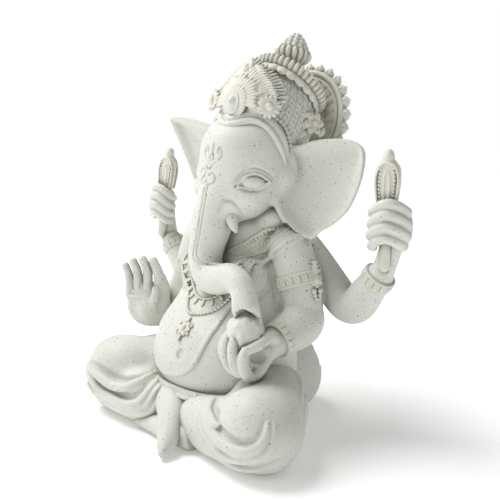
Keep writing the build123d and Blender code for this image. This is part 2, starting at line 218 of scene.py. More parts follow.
class Leaf:
    """A curved sheet: an outline in its place's x-z plane, bent to y = bend(x, z, inside).

    thick(x, z, inside) gives the half thickness, where inside is the depth from the edge."""

    STEP = 0.25

    def __init__(self, outline, place, bend, thick, reach=14.0, per=6):
        self.outline = flowing(outline, per, closed=True)
        self.place, self.bend, self.thick, self.reach = place, bend, thick, reach
        self.low = self.outline.min(axis=0) - 6.0
        high = self.outline.max(axis=0) + 6.0
        u = np.arange(self.low[0], high[0], self.STEP)[:, None]
        w = np.arange(self.low[1], high[1], self.STEP)[None, :]
        best = np.full((u.size, w.size), 1e9)
        inside = np.zeros(best.shape, bool)
        p, q = self.outline, np.roll(self.outline, -1, axis=0)
        for (ax, az), (bx, bz) in zip(p, q):
            ex, ez = bx - ax, bz - az
            t = np.clip(((u - ax) * ex + (w - az) * ez) / (ex * ex + ez * ez + 1e-12), 0, 1)
            best = np.minimum(best, np.hypot(u - ax - t * ex, w - az - t * ez))
            crosses = (az > w) != (bz > w)
            if az != bz:
                inside ^= crosses & (u < ex * (w - az) / ez + ax)
        self.map = np.where(inside, -best, best).astype(np.float32)

    def box(self):
        o = self.outline
        corners = []
        for y in (-self.reach, self.reach):
            corners.append(np.column_stack([o[:, 0], np.full(len(o), y), o[:, 1]]))
        p = self.place.out(np.vstack(corners))
        return p.min(axis=0), p.max(axis=0)

    def edge(self, x, z):
        """Signed distance to the outline, looked up in the map."""
        i = np.clip((x - self.low[0]) / self.STEP, 0, self.map.shape[0] - 1.001)
        j = np.clip((z - self.low[1]) / self.STEP, 0, self.map.shape[1] - 1.001)
        i0, j0 = i.astype(np.int32), j.astype(np.int32)
        fi, fj = i - i0, j - j0
        m = self.map
        top = m[i0, j0] * (1 - fj) + m[i0, j0 + 1] * fj
        low = m[i0 + 1, j0] * (1 - fj) + m[i0 + 1, j0 + 1] * fj
        return top * (1 - fi) + low * fi

    def fill(self, block):
        x, y, z = self.place.into(*block.grids())
        x, y, z = np.broadcast_arrays(x, y, z)
        edge = self.edge(x, z)
        half = self.thick(x, z, -edge)
        soft = np.minimum(half, 1.2)
        p = edge + soft
        q = np.abs(y - self.bend(x, z, -edge)) - (half - soft)
        outside = np.sqrt(np.maximum(p, 0) ** 2 + np.maximum(q, 0) ** 2)
        return (np.minimum(np.maximum(p, q), 0) + outside - soft).astype(np.float32)


# ------------------------------------------------------------------ clay
def melt(a, b, soft):
    """The smaller of two fields, rounded off where they meet."""
    if soft <= 0:
        return np.minimum(a, b)
    h = np.maximum(soft - np.abs(a - b), 0.0)
    return np.minimum(a, b) - h * h / (4.0 * soft)


class Block:
    """A box of grid points, given by its three axes."""

    def __init__(self, axes):
        self.axes = axes

    def shape(self):
        return tuple(len(a) for a in self.axes)

    def grids(self):
        x, y, z = self.axes
        return x[:, None, None], y[None, :, None], z[None, None, :]

    def near(self, low, high):
        """The part of the block between two corners, with the index that reaches it."""
        cuts, axes = [], []
        for axis, a, b in zip(self.axes, low, high):
            i, j = np.searchsorted(axis, a), np.searchsorted(axis, b, side="right")
            if j - i < 1:
                return None, None
            cuts.append(slice(i, j))
            axes.append(axis[i:j])
        return tuple(cuts), Block(axes)


class Clay(Block):
    """A field that shapes are added to and carved from."""

    def __init__(self, low, high, step):
        self.low, self.step = np.array(low, float), step
        counts = [int(math.ceil((b - a) / step)) + 1 for a, b in zip(low, high)]
        super().__init__([(a + step * np.arange(n)).astype(np.float32) for a, n in zip(low, counts)])
        self.field = np.full(self.shape(), FAR, np.float32)

    @classmethod
    def around(cls, shapes, step, room=2.0):
        """Empty clay big enough for the shapes, with room mm round them."""
        boxes = [s.box() for s in shapes]
        low = np.min([b[0] for b in boxes], axis=0) - room
        high = np.max([b[1] for b in boxes], axis=0) + room
        return cls(low, high, step)

    def copy(self):
        twin = Clay.__new__(Clay)
        twin.low, twin.step, twin.axes = self.low, self.step, self.axes
        twin.field = self.field.copy()
        return twin

    def blank(self):
        """An empty block of clay on the same grid."""
        twin = self.copy()
        twin.field[:] = FAR
        return twin

    def _window(self, shape, soft):
        low, high = shape.box()
        pad = BAND + soft
        return self.near(low - pad, high + pad)

    def add(self, *shapes, soft=0.0):
        """Adds shapes, with a fillet as wide as soft where they meet the clay."""
        for shape in shapes:
            where, part = self._window(shape, soft)
            if part is not None:
                self.field[where] = melt(self.field[where], shape.fill(part), soft)
        return self

    def carve(self, *shapes, soft=0.0):
        """Cuts shapes out, with a rounded edge as wide as soft."""
        for shape in shapes:
            where, part = self._window(shape, soft)
            if part is not None:
                self.field[where] = -melt(-self.field[where], shape.fill(part), soft)
        return self

    def cut_plane(self, point, normal):
        """Removes what lies on the normal's side of a plane."""
        n = np.array(normal, float) / np.linalg.norm(normal)
        x, y, z = self.grids()
        beyond = (x - point[0]) * n[0] + (y - point[1]) * n[1] + (z - point[2]) * n[2]
        self.field = np.maximum(self.field, beyond.astype(np.float32))
        return self

    def sink(self, depth):
        """Moves the whole surface inwards; a negative depth swells it."""
        self.field += np.float32(depth)
        return self

    def sample(self, points):
        """The field's values at points, between the grid's points too."""
        p = (np.asarray(points, float) - self.low) / self.step
        top = np.array(self.shape()) - 1.001
        p = np.clip(p, 0, top)
        i = p.astype(int)
        f = p - i
        value = 0.0
        for dx in (0, 1):
            for dy in (0, 1):
                for dz in (0, 1):
                    weight = (np.abs(1 - dx - f[:, 0]) * np.abs(1 - dy - f[:, 1])
                              * np.abs(1 - dz - f[:, 2]))
                    value = value + weight * self.field[i[:, 0] + dx, i[:, 1] + dy, i[:, 2] + dz]
        return value

    def normal(self, points):
        """The outward directions of the surface near points."""
        p = np.asarray(points, float)
        h = self.step
        grad = np.stack([self.sample(p + d) - self.sample(p - d) for d in np.eye(3) * h], axis=1)
        return grad / (np.linalg.norm(grad, axis=1, keepdims=True) + 1e-9)

    def snap(self, points, lift=0.0):
        """Moves points onto the surface, or lift mm above it."""
        p = np.array(points, float)
        for _ in range(10):
            gap = np.clip(self.sample(p) - lift, -2.0, 2.0)
            p = p - self.normal(p) * gap[:, None]
        return p

    def on_surface(self, rows, lift, per=5, closed=False, place=WORLD):
        """Points and radii of (x, y, z, radius) rows, moved onto the surface or lift mm above it."""
        curve = flowing(rows, per, closed)
        return self.snap(place.out(curve[:, :3]), lift), curve[:, 3:4]

    def ridge(self, rows, lift=0.0, soft=0.5, per=4, closed=False, place=WORLD, carve=False):
        """A rounded line laid on the surface along (x, y, z, radius) rows."""
        points, radii = self.on_surface(rows, lift, per, closed, place)
        tube = Tube(np.hstack([points, radii]), per=1, closed=closed)
        return self.carve(tube, soft=soft) if carve else self.add(tube, soft=soft)

    def groove(self, rows, lift=0.0, soft=0.2, per=4, closed=False, place=WORLD):
        """A rounded line cut into the surface along (x, y, z, radius) rows."""
        return self.ridge(rows, lift, soft, per, closed, place, carve=True)

    def emboss(self, low, high, amount):
        """Adds amount(x, y, z) mm to the surface inside a box; positive raises it."""
        where, part = self.near(low, high)
        x, y, z = np.broadcast_arrays(*part.grids())
        self.field[where] -= amount(x, y, z).astype(np.float32)
        return self

    def polish(self, times=1):
        """Rounds off the finest creases."""
        for _ in range(times):
            f = self.field
            for axis in range(3):
                g = f.copy()
                mid = [slice(None)] * 3
                lower, upper = list(mid), list(mid)
                mid[axis], lower[axis], upper[axis] = slice(1, -1), slice(0, -2), slice(2, None)
                g[tuple(mid)] = 0.5 * f[tuple(mid)] + 0.25 * (f[tuple(lower)] + f[tuple(upper)])
                f = g
            self.field = f
        return self




# ------------------------------------------------------------------ stone and fixings
def node_of(tree, kind, sockets=None, **values):
    """A new node. sockets gives an input its value, or the output that is wired to it."""
    made = tree.nodes.new(kind)
    for key, value in values.items():
        setattr(made, key, value)
    wire(tree, made, sockets or {})
    return made


def wire(tree, node, sockets):
    """Sets a node's inputs, each to a value or to another node's output."""
    for key, value in sockets.items():
        if isinstance(value, bpy.types.NodeSocket):
            tree.links.new(value, node.inputs[key])
        else:
            node.inputs[key].default_value = value


def empty_material(name):
    """A new material with its node tree and its shader node."""
    material = bpy.data.materials.new(name)
    material.use_nodes = True
    return material, material.node_tree, material.node_tree.nodes["Principled BSDF"]


GRAIN_TINT = (0.16, 0.155, 0.14, 1)
# the olive grey of the painted shade that darkens the stone's creases and hollows
HOLLOW_SHADE_TINT = (0.19, 0.185, 0.14, 1)
MM_PER_METRE = 1000.0          # the stone's textures count in millimetres


def stone_material(name, tint, speck_amount, hollow_shade_amount, wax):
    """Cast stone: pale resin with dark grains, painted shade that darkens the hollows, and a soft satin skin.
    """
    material, tree, shader = empty_material(name)
    place = node_of(tree, "ShaderNodeTexCoord")
    scaled = node_of(tree, "ShaderNodeVectorMath", {0: place.outputs["Object"], 3: MM_PER_METRE},
                     operation="SCALE").outputs[0]
    warp = node_of(tree, "ShaderNodeTexNoise", {"Scale": 1.1, "Vector": scaled})
    bent = node_of(tree, "ShaderNodeVectorMath", {1: (0.5, 0.5, 0.5), 0: warp.outputs["Color"], 2: scaled},
                   operation="MULTIPLY_ADD")

    def grains(scale, size, share):
        """A mask of round grains, one per cell of a share of the cells, with random sizes."""
        cells = node_of(tree, "ShaderNodeTexVoronoi", {"Scale": scale, "Vector": bent.outputs[0]})
        dice = node_of(tree, "ShaderNodeSeparateColor", {0: cells.outputs["Color"]})
        radius = node_of(tree, "ShaderNodeMapRange",
                         {"From Min": 1.0 - share, "To Max": size * scale, "Value": dice.outputs[0]})
        edge = node_of(tree, "ShaderNodeMath", {0: radius.outputs[0], 1: cells.outputs["Distance"]},
                       operation="SUBTRACT")
        mask = node_of(tree, "ShaderNodeMapRange",
                       {"From Min": -0.02, "From Max": 0.06, "Value": edge.outputs[0]})
        depth = node_of(tree, "ShaderNodeMapRange", {"To Min": 0.35, "Value": dice.outputs[1]})
        return node_of(tree, "ShaderNodeMath", {0: mask.outputs[0], 1: depth.outputs[0]},
                       operation="MULTIPLY")

    coarse = grains(0.68, 0.40, 0.72)
    fine = grains(1.45, 0.25, 0.72)
    fainter = node_of(tree, "ShaderNodeMath", {0: fine.outputs[0], 1: 0.6}, operation="MULTIPLY")
    either = node_of(tree, "ShaderNodeMath", {0: coarse.outputs[0], 1: fainter.outputs[0]},
                     operation="MAXIMUM")
    specks = node_of(tree, "ShaderNodeMath", {0: either.outputs[0], 1: speck_amount},
                     operation="MULTIPLY").outputs[0]

    cloud = node_of(tree, "ShaderNodeTexNoise", {"Scale": 0.06, "Detail": 5.0, "Vector": scaled})
    shaded = (tint[0] * 0.965, tint[1] * 0.97, tint[2] * 0.945, 1)
    base = node_of(tree, "ShaderNodeMix", {0: cloud.outputs["Fac"], 6: (*tint, 1), 7: shaded},
                   data_type="RGBA")

    def hollow_shading(reach, clean, full):
        """How much painted shade darkens hollows about as deep as this reach, in metres, read from ambient
        occlusion.
        """
        hollow = node_of(tree, "ShaderNodeAmbientOcclusion", {"Distance": reach}, samples=6)
        return node_of(tree, "ShaderNodeMapRange", {
            "From Min": clean, "From Max": full, "To Max": hollow_shade_amount, "Value": hollow.outputs["AO"]})

    # painted shade: ambient occlusion darkens the colour in creases and hollows, where shade falls
    painted_shade = node_of(tree, "ShaderNodeMath", {
        0: hollow_shading(0.0040, 0.92, 0.25).outputs[0], 1: hollow_shading(0.0008, 0.86, 0.40).outputs[0]},
        operation="MAXIMUM")
    shaded_hollows = node_of(tree, "ShaderNodeMix", {0: painted_shade.outputs[0], 6: base.outputs[2], 7: HOLLOW_SHADE_TINT},
                    data_type="RGBA")
    speckled = node_of(tree, "ShaderNodeMix", {0: specks, 6: shaded_hollows.outputs[2], 7: GRAIN_TINT},
                       data_type="RGBA")
    gloss = node_of(tree, "ShaderNodeMapRange",
                    {"To Min": 0.46, "To Max": 0.62, "Value": cloud.outputs["Fac"]})
    skin = node_of(tree, "ShaderNodeTexNoise", {"Scale": 2.2, "Detail": 4.0, "Vector": scaled})
    height = node_of(tree, "ShaderNodeMath", {0: specks, 1: -0.8, 2: skin.outputs["Fac"]},
                     operation="MULTIPLY_ADD")
    bump = node_of(tree, "ShaderNodeBump",
                   {"Strength": 0.10, "Distance": 0.0003, "Height": height.outputs[0]})
    wire(tree, shader, {
        "Base Color": speckled.outputs[2], "Roughness": gloss.outputs[0], "Normal": bump.outputs[0],
        "Subsurface Weight": wax, "Subsurface Scale": 0.0015, "Subsurface Radius": (1.0, 0.9, 0.75),
        "Specular IOR Level": 0.42})
    return material


def fixing_material(name, colour, grain_scale, low_rough, high_rough, metal):
    """A finish for the hidden fixings: a grain that varies the tone and the roughness."""
    material, tree, shader = empty_material(name)
    where = node_of(tree, "ShaderNodeTexCoord")
    grain = node_of(tree, "ShaderNodeTexNoise",
                    {"Scale": grain_scale, "Detail": 6.0, "Vector": where.outputs["Object"]}).outputs["Fac"]
    darker = (*[0.7 * channel for channel in colour], 1)
    tone = node_of(tree, "ShaderNodeMix", {0: grain, 6: darker, 7: (*colour, 1)}, data_type="RGBA")
    rough = node_of(tree, "ShaderNodeMapRange", {"To Min": low_rough, "To Max": high_rough, "Value": grain})
    nap = node_of(tree, "ShaderNodeBump", {"Strength": 0.4, "Distance": 0.0004, "Height": grain})
    wire(tree, shader, {"Base Color": tone.outputs[2], "Roughness": rough.outputs[0],
                        "Normal": nap.outputs[0], "Metallic": metal})
    return material


PLAIN = "cast_stone"
TRIM = "cast_stone_ornament"
# the fourth number sets how dark the painted shade in the hollows gets
MATERIALS = {
    PLAIN: stone_material(PLAIN, (0.70, 0.705, 0.655), 0.95, 0.62, 0.05),
    TRIM: stone_material(TRIM, (0.72, 0.71, 0.635), 0.16, 0.8, 0.05),
}


# ------------------------------------------------------------------ casting
def cast(clay, name, node, finish=PLAIN):
    """Turns clay into a smooth mesh that stands for a CAD node."""
    grid = vdb.FloatGrid()
    grid.background = BAND
    field = np.clip(clay.field, -BAND, BAND).astype(np.float32)
    field[0], field[-1] = BAND, BAND
    field[:, 0], field[:, -1] = BAND, BAND
    field[:, :, 0], field[:, :, -1] = BAND, BAND
    grid.copyFromArray(field)
    points, quads = grid.convertToQuads(isovalue=0.0)
    quads = quads[:, ::-1].astype(np.int32)
    points = (points * clay.step + clay.low) * MM
    mesh = bpy.data.meshes.new(name)
    mesh.vertices.add(len(points))
    mesh.vertices.foreach_set("co", points.astype(np.float32).ravel())
    mesh.loops.add(quads.size)
    mesh.loops.foreach_set("vertex_index", quads.ravel())
    mesh.polygons.add(len(quads))
    mesh.polygons.foreach_set("loop_start", np.arange(len(quads), dtype=np.int32) * 4)
    mesh.update(calc_edges=True)
    mesh.validate()
    mesh.polygons.foreach_set("use_smooth", np.ones(len(mesh.polygons), bool))
    mesh.set_sharp_from_angle(angle=math.radians(SHARP_DEGREES))
    obj = bpy.data.objects.new(name, mesh)
    bpy.context.scene.collection.objects.link(obj)
    obj.data.materials.append(MATERIALS[finish])
    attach(obj, "root")
    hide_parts(node)


def share(whole, parts):
    """Splits a blended casting between its nodes, each lapped a little under the others."""
    pieces = {}
    for name, own in parts.items():
        rest = None
        for other_name, other in parts.items():
            if other_name != name:
                rest = other if rest is None else np.minimum(rest, other)
        beyond = 0.5 * (own - rest)
        piece = whole.copy()
        sunk = SEAM_SINK * np.clip(beyond / SEAM_LAP, 0.0, 1.0)
        piece.field = np.maximum(piece.field + sunk, beyond - SEAM_LAP).astype(np.float32)
        pieces[name] = piece
    return pieces


def blended(low, high, step, groups, softs):
    """Builds each group of shapes as its own field, and all of them melted together."""
    parts = {}
    whole = None
    for name, (soft, shapes) in groups.items():
        clay = Clay(low, high, step)
        for shape in shapes:
            clay.add(shape, soft=soft)
        parts[name] = clay.field
        if whole is None:
            whole = clay.copy()
        else:
            whole.field = melt(whole.field, clay.field, softs[name])
    return whole, parts


# ------------------------------------------------------------------ body
BODY_STEP = 0.55
ELBOWS = {
    1: [(28.6, -3, 83, 9.7), (33, -3.2, 72.5, 9.5), (35.6, -2.6, 62.5, 8.9), (36.8, -2.6, 53.5, 8.8),
        (38.0, -9.5, 50.2, 8.9), (38.0, -15.5, 48.4, 7.7), (37.4, -21, 46.9, 6.2)],
    -1: [(-29, -3, 83, 9.9), (-33.5, -3.2, 72.5, 9.7), (-37.8, -2.8, 62.5, 9.5), (-41.4, -3.2, 52.5, 9.8),
         (-43.6, -7.6, 47.6, 9.0), (-44.8, -12.2, 44.8, 7.4), (-45, -17, 43, 6.3)],
}
REAR = [(16, 13, 87, 8.4), (26, 13.8, 79, 8.2), (37, 13.4, 69.5, 7.8), (47.5, 12.2, 60.5, 7.9),
        (55, 11.0, 60.5, 7.9), (61, 10.2, 67.5, 7.3), (67.5, 9.5, 76, 5.7)]


def mirrored(rows):
    """The same rows on the other side, with x turned round."""
    return [(-row[0], *row[1:]) for row in rows]


torso_shapes = [
    Pile([(-2, -8, 27, 22), (8, -10, 31, 26), (20, -13, 34, 29.5), (33, -14.5, 35, 31), (46, -13, 33.5, 29),
          (58, -8, 30, 23.5), (70, -4, 28.5, 19.5), (80, -1, 26.5, 16.5), (88, 0, 21, 14), (94, 0, 15, 12),
          (101, -1, 12.5, 11)]),
    Egg((15.0, -16.2, 69.5), (11.0, 9.0, 9.8), turning(z=26)),
    Egg((-15.0, -16.2, 69.5), (11.0, 9.0, 9.8), turning(z=-26)),
    Egg((0, -3, 90), (22, 11, 8.5)),
    Egg((18, -1.5, 96.5), (7.5, 8, 5.5)),
    Egg((-18, -1.5, 96.5), (7.5, 8, 5.5)),
]
bust, bust_parts = blended(
    (-77, -52, -3), (77, 32, 104), BODY_STEP,
    {
        "torso": (3.4, torso_shapes),
        "front_arm_left": (1.3, [Tube(ELBOWS[1][:4]), Egg((38.6, -6.4, 51.6), (8.6, 11.4, 9.4),
                                                          turning(x=14)),
                                 Tube(ELBOWS[1][3:])]),
        "front_arm_right": (1.6, [Tube(ELBOWS[-1][:4]), Egg((-42.4, -6.0, 51.6), (9.0, 10.0, 9.6)),
                                  Tube(ELBOWS[-1][3:])]),
        "rear_arm_left": (3.0, [Tube(REAR)]),
        "rear_arm_right": (3.0, [Tube(mirrored(REAR))]),
    },
    {"front_arm_left": 2.2, "front_arm_right": 2.2, "rear_arm_left": 2.5, "rear_arm_right": 2.5},
)

# the bare belly between the edges of the draped cloth, with a raised hem round it;
# the outline is closed across the chest, under the collar
PANEL = [(-26, 76), (-31, 62), (-32, 48), (-28, 37), (-19, 30), (-9, 27.3), (2, 29.4), (8, 32.6), (11.6, 37),
         (13.4, 43), (14.9, 50), (15.5, 58), (16.4, 67), (17.6, 76)]


def panel_depth(x, z):
    """How far (x, z) lies inside the panel's outline, by its distance to the outline's line."""
    line = flowing(PANEL, 8)
    best = np.full(x.shape, 1e9, np.float32)
    inside = np.zeros(x.shape, bool)
    ring = np.vstack([line, line[:1]])
    for (ax, az), (bx, bz) in zip(ring[:-1], ring[1:]):
        ex, ez = bx - ax, bz - az
        t = np.clip(((x - ax) * ex + (z - az) * ez) / (ex * ex + ez * ez + 1e-9), 0, 1)
        best = np.minimum(best, np.hypot(x - ax - t * ex, z - az - t * ez))
        if az != bz:
            inside ^= ((az > z) != (bz > z)) & (x < ex * (z - az) / ez + ax)
    return np.where(inside, best, -best)


x, y, z = bust.grids()
depth = panel_depth(*np.broadcast_arrays(x[:, 0, :], z[0, :, :]))[:, None, :]
front = np.clip(-(y + 6.0) / 6.0, 0.0, 1.0)
bare = np.clip(depth / 1.0 + 0.5, 0.0, 1.0) * front


def front_of(clay, points_xz, lift=0.0):
    """The front surface of clay above (x, z) places: a march along +Y from the front."""
    x, z = np.array(points_xz, float).T
    y = np.full(len(x), -49.0)
    for _ in range(160):
        gap = clay.sample(np.column_stack([x, y, z]))
        y = y + np.clip(gap, 0.0, 1.5) * 0.7
    return clay.snap(np.column_stack([x, y, z]), lift)


def with_radius(points, radius):
    """Points as rows that all have one radius."""
    return np.column_stack([points, np.full(len(points), radius)])


hem = front_of(bust, flowing(PANEL, 8))
# the cloth of the sash over the left shoulder: two raised lines, from the panel's hem to the back
SASH = [(17.4, -17, 75.4), (20.5, -15.5, 78), (24, -14, 80.6), (28, -13, 83.8), (31.5, -12, 87),
        (35, -7, 90.6),
        (36.5, 0, 91.5), (33, 8, 88.5), (27, 13, 84)]
bust.ridge(with_radius(np.array(SASH), 1.0), lift=0.25, soft=0.5)
bust.ridge(with_radius(np.array(SASH) + (1.9, -0.4, -1.5), 0.55), lift=0.15, soft=0.5)
# soft creases: under the breasts, at the front of the armpits, and at the waist behind
for side in (1, -1):
    bust.groove([(side * 10, -26, 60.6, 0.4), (side * 17, -23, 60.4, 1.2), (side * 23.6, -18.7, 63.0, 1.4),
                 (side * 26.2, -14.3, 67.5, 1.3), (side * 26.0, -12.6, 73.5, 0.6)], lift=0.2, soft=1.2)
    bust.groove([(side * 26.4, -12.4, 76, 0.5), (side * 27.4, -12.4, 70, 1.1), (side * 28.2, -12.2, 63, 1.1),
                 (side * 29.5, -12.6, 57, 0.5)], lift=0.3, soft=0.9)
    bust.groove([(side * 6, 16, 62, 0.3), (side * 16, 15, 60, 0.9), (side * 26, 11, 58, 0.9),
                 (side * 32, 4, 56, 0.3)], lift=0.5, soft=2.4)
bust.groove([(0, 18, 82, 0.4), (0, 19, 70, 1.0), (0, 17, 58, 0.8), (0, 16, 48, 0.3)], lift=0.5, soft=2.6)

pieces = share(bust, bust_parts)
belly = pieces["torso"].copy()
belly.field = np.maximum(belly.field - 0.75 * bare, 0.6 - depth).astype(np.float32)
belly.field = np.maximum(belly.field, (y + 7.0))
belly.add(Tube(with_radius(hem, 1.1), per=1), soft=0.7)
navel = front_of(belly, [(3.3, 38.5)])[0]
belly.carve(Egg(navel, (1.8, 3.6, 2.1)), soft=0.9)
cast(belly, "bare_belly", "belly_front")
cast(pieces["torso"], "torso_cast", "torso")
for side_name in ("left", "right"):
    cast(pieces[f"rear_arm_{side_name}"], f"rear_arm_cast_{side_name}", f"rear_arm_{side_name}")
    cast(pieces[f"front_arm_{side_name}"], f"front_arm_cast_{side_name}", f"front_arm_{side_name}")

# ------------------------------------------------------------------ seat, legs and feet
LEG_STEP = 0.5


def folds(clay, lines, groove_side=1.0, soft=1.4, lift=-0.35):
    """Folds of cloth: raised edges along the lines, each with a valley on one side of it."""
    raised, valleys = [], []
    for rows in lines:
        points, radii = clay.on_surface(rows, 0.0)
        along = np.gradient(points, axis=0)
        along /= np.linalg.norm(along, axis=1, keepdims=True) + 1e-9
        across = np.cross(clay.normal(points), along) * groove_side
        valley = clay.snap(points + across * radii * 1.75, 0.35)
        valleys.append(Tube(np.hstack([valley, radii * 0.9]), per=1))
        raised.append(Tube(np.hstack([clay.snap(points, lift), radii]), per=1))
    for valley in valleys:
        clay.carve(valley, soft=soft * 1.3)
    for edge in raised:
        clay.add(edge, soft=soft)
    return clay


def fold(clay, rows, groove_side=1.0, soft=1.4, lift=-0.35):
    """One fold of cloth."""
    return folds(clay, [rows], groove_side, soft, lift)


def tapered(points, radius, ends=0.35):
    """Rows whose radius swells from the ends to the middle."""
    n = len(points)
    s = np.sin(np.pi * (np.arange(n) + 0.25) / (n - 0.5))
    return np.column_stack([points, radius * (ends + (1 - ends) * s)])


seat_clay = Clay((-34, -26, -3), (34, 44, 52), LEG_STEP)
seat_clay.add(Egg((0, 8, 20), (28.0, 29.8, 26)))
for side in (1, -1):
    seat_clay.add(Egg((side * 11.5, 16, 16), (15.5, 19, 16.5)), soft=5.0)
for height, sag, radius in ((40, 4, 0.9), (31, 7, 1.0), (20, 8, 1.0)):
    reach = 29.5 * math.sqrt(max(0.05, 1 - ((height - 19) / 27.5) ** 2))
    turns = np.radians(np.linspace(38, 142, 11))
    around = np.column_stack([reach * np.cos(turns), 9 + reach * np.sin(turns),
                              height - sag * np.sin(turns) ** 2 + sag * 0.5])
    fold(seat_clay, tapered(around, radius), soft=1.5)
seat_clay.polish(1)
seat_clay.cut_plane((0, 0, 0), (0, 0, -1))
cast(seat_clay, "draped_hips", "dhoti_seat")

LEFT_FOLDS = [
    [(22.1, -47.1, 23.6), (23.5, -51.6, 20.9), (25.3, -54.3, 17.1), (27.9, -55.5, 13.1), (32.6, -55.4, 9.5),
     (38.1, -54, 6.7), (46, -53, 5.2), (55, -50.5, 6.5), (61, -46, 11)],
    [(22.5, -45.2, 24.1), (25.6, -51.3, 21.4), (28.2, -54.2, 17.9), (31.4, -55.4, 14.2), (36.1, -55.4, 11.5),
     (41.7, -54.2, 9.3), (50.4, -55.2, 10.1), (56.9, -53.2, 12.1), (60.6, -50.6, 15.6), (61.5, -48.5, 20.8),
     (60.2, -47.2, 24.6)],
    [(24.1, -44.4, 24.3), (27.4, -50.2, 22.5), (30, -53.1, 19.8), (33.4, -54.6, 17.1), (37.8, -54.9, 14.8),
     (46, -56.2, 13.6), (52.9, -55.6, 14.0), (57.4, -53.2, 16.6), (59, -50.8, 20.5), (58.4, -48.8, 24.7)],
    [(28.4, -50.8, 22.1), (31.9, -52.7, 20.3), (35.1, -53.4, 18.9), (38.5, -53.6, 19.3)],
]
RIGHT_FOLDS = [
    [(-62, -44, 22), (-57, -50, 20), (-48.2, -55, 20.6), (-42, -55.2, 18.9), (-35, -54.5, 17.1),
     (-26.1, -54, 18), (-20.2, -50.4, 21.3), (-18.8, -45.8, 23.4), (-20, -38.3, 25)],
    [(-61, -46, 17), (-55, -52, 17.4), (-48.6, -56.5, 16.5), (-42.4, -55.1, 12.8), (-33.5, -55.5, 11.4),
     (-24.6, -55.2, 10.9), (-17.2, -53.9, 12.6), (-13.5, -51.6, 16.8), (-13, -47.5, 21.1),
     (-14.7, -42.1, 23.6)],
    [(-60, -47, 12), (-54, -54, 12.8), (-44.3, -55, 10.3), (-34.6, -54.9, 8), (-22.5, -54.5, 8.4),
     (-15.2, -53.2, 10.2), (-11.2, -51.7, 13.7), (-10.1, -49.2, 18), (-10.8, -44.1, 22)],
    [(-46, -54, 5.5), (-36.4, -53.7, 5.7), (-24.4, -54.3, 6.6), (-14.5, -52.6, 8.4), (-9.3, -50.9, 11.2),
     (-7.3, -49.2, 15.1), (-7.3, -45.7, 19.5)],
]
FOLD_RADII = {1: (1.9, 2.2, 2.4, 1.8), -1: (2.3, 2.3, 2.1, 1.7)}
for side, name in ((1, "left"), (-1, "right")):
    clay = Clay((min(side * 70, side * -3), -62, -3), (max(side * 70, side * -3), 8, 42), LEG_STEP)
    clay.add(Egg((side * 34, -22, 17.5), (31, 17.5, 18), turning(z=side * -48)))
    clay.add(Egg((side * 48, -40, 16.5), (16.5, 16.5, 17.5)), soft=5.0)
    clay.add(Egg((side * 28, -44, 12), (26, 11.5, 12.5), turning(z=side * -4)), soft=6.0)
    if side > 0:
        clay.add(Egg((46, -45.5, 21.5), (12.5, 10.6, 11.0), turning(z=-12)), soft=4.0)
    else:
        clay.add(Egg((-46, -40, 24.5), (15.5, 13.5, 10.5), turning(z=12)), soft=4.0)
    lines = [tapered(np.array(rows), radius, 0.3)
             for rows, radius in zip(LEFT_FOLDS if side > 0 else RIGHT_FOLDS, FOLD_RADII[side])]
    folds(clay, lines, soft=0.9, lift=-0.2)
    # long soft folds from the hip over the thigh, and round the outside of the knee
    for dz, reach in ((0, 1.0), (-6.5, 1.06)) if side < 0 else ((0, 1.0),):
        over = [(side * 27 * reach, 0, 30 + dz), (side * 39 * reach, -8, 29 + dz),
                (side * 50 * reach, -18, 27 + dz),
                (side * 59 * reach, -30, 23 + dz)]
        fold(clay, tapered(np.array(over), 1.0, 0.1), groove_side=side, soft=3.0, lift=-0.6)
    if side < 0:
        lens = [(-50.5, -40.4, 34.5), (-43.5, -37.8, 34), (-36.1, -34.9, 33.5), (-31.5, -32.4, 33)]
        fold(clay, tapered(np.array(lens), 1.2), groove_side=1.0, soft=1.2, lift=-0.5)
    clay.polish(1)
    clay.cut_plane((0, 0, 0), (0, 0, -1))
    cast(clay, f"leg_cloth_{name}", f"leg_{name}")

foot = Clay((-16, -68, -2), (20, -34, 26), 0.4)
foot.add(Tube([(-13, -40, 13, 7.5), (-4, -43, 13.8, 8.2), (2, -47.5, 12, 7.3), (7.5, -54, 8.2, 5.7),
               (11.8, -60, 5.2, 4.0), (14.3, -63.6, 3.4, 2.3)]))
for toe in range(4):
    start = np.array((9.0 - 1.9 * toe, -57.5 + 0.4 * toe, 8.8 - 0.4 * toe))
    foot.groove([(*(start - (0.8, -1.6, -1.0)), 0.15), (*start, 0.34), (*(start + (2.4, -2.9, -3.2)), 0.22)],
                lift=0.16, soft=0.6)
foot.cut_plane((0, 0, 0), (0, 0, -1))
cast(foot, "upper_foot", "foot_right")
foot = Clay((-24, -60, -2), (18, -40, 14), 0.4)
foot.add(Tube([(14, -48.6, 6, 6.3), (4, -49.3, 5.6, 5.9), (-6, -49.3, 5.0, 5.0), (-13, -49.4, 4.0, 3.9),
               (-18, -50, 3.0, 2.7), (-20, -50.4, 2.6, 1.9)]))
foot.cut_plane((0, 0, 0), (0, 0, -1))
cast(foot, "lower_foot", "foot_left")

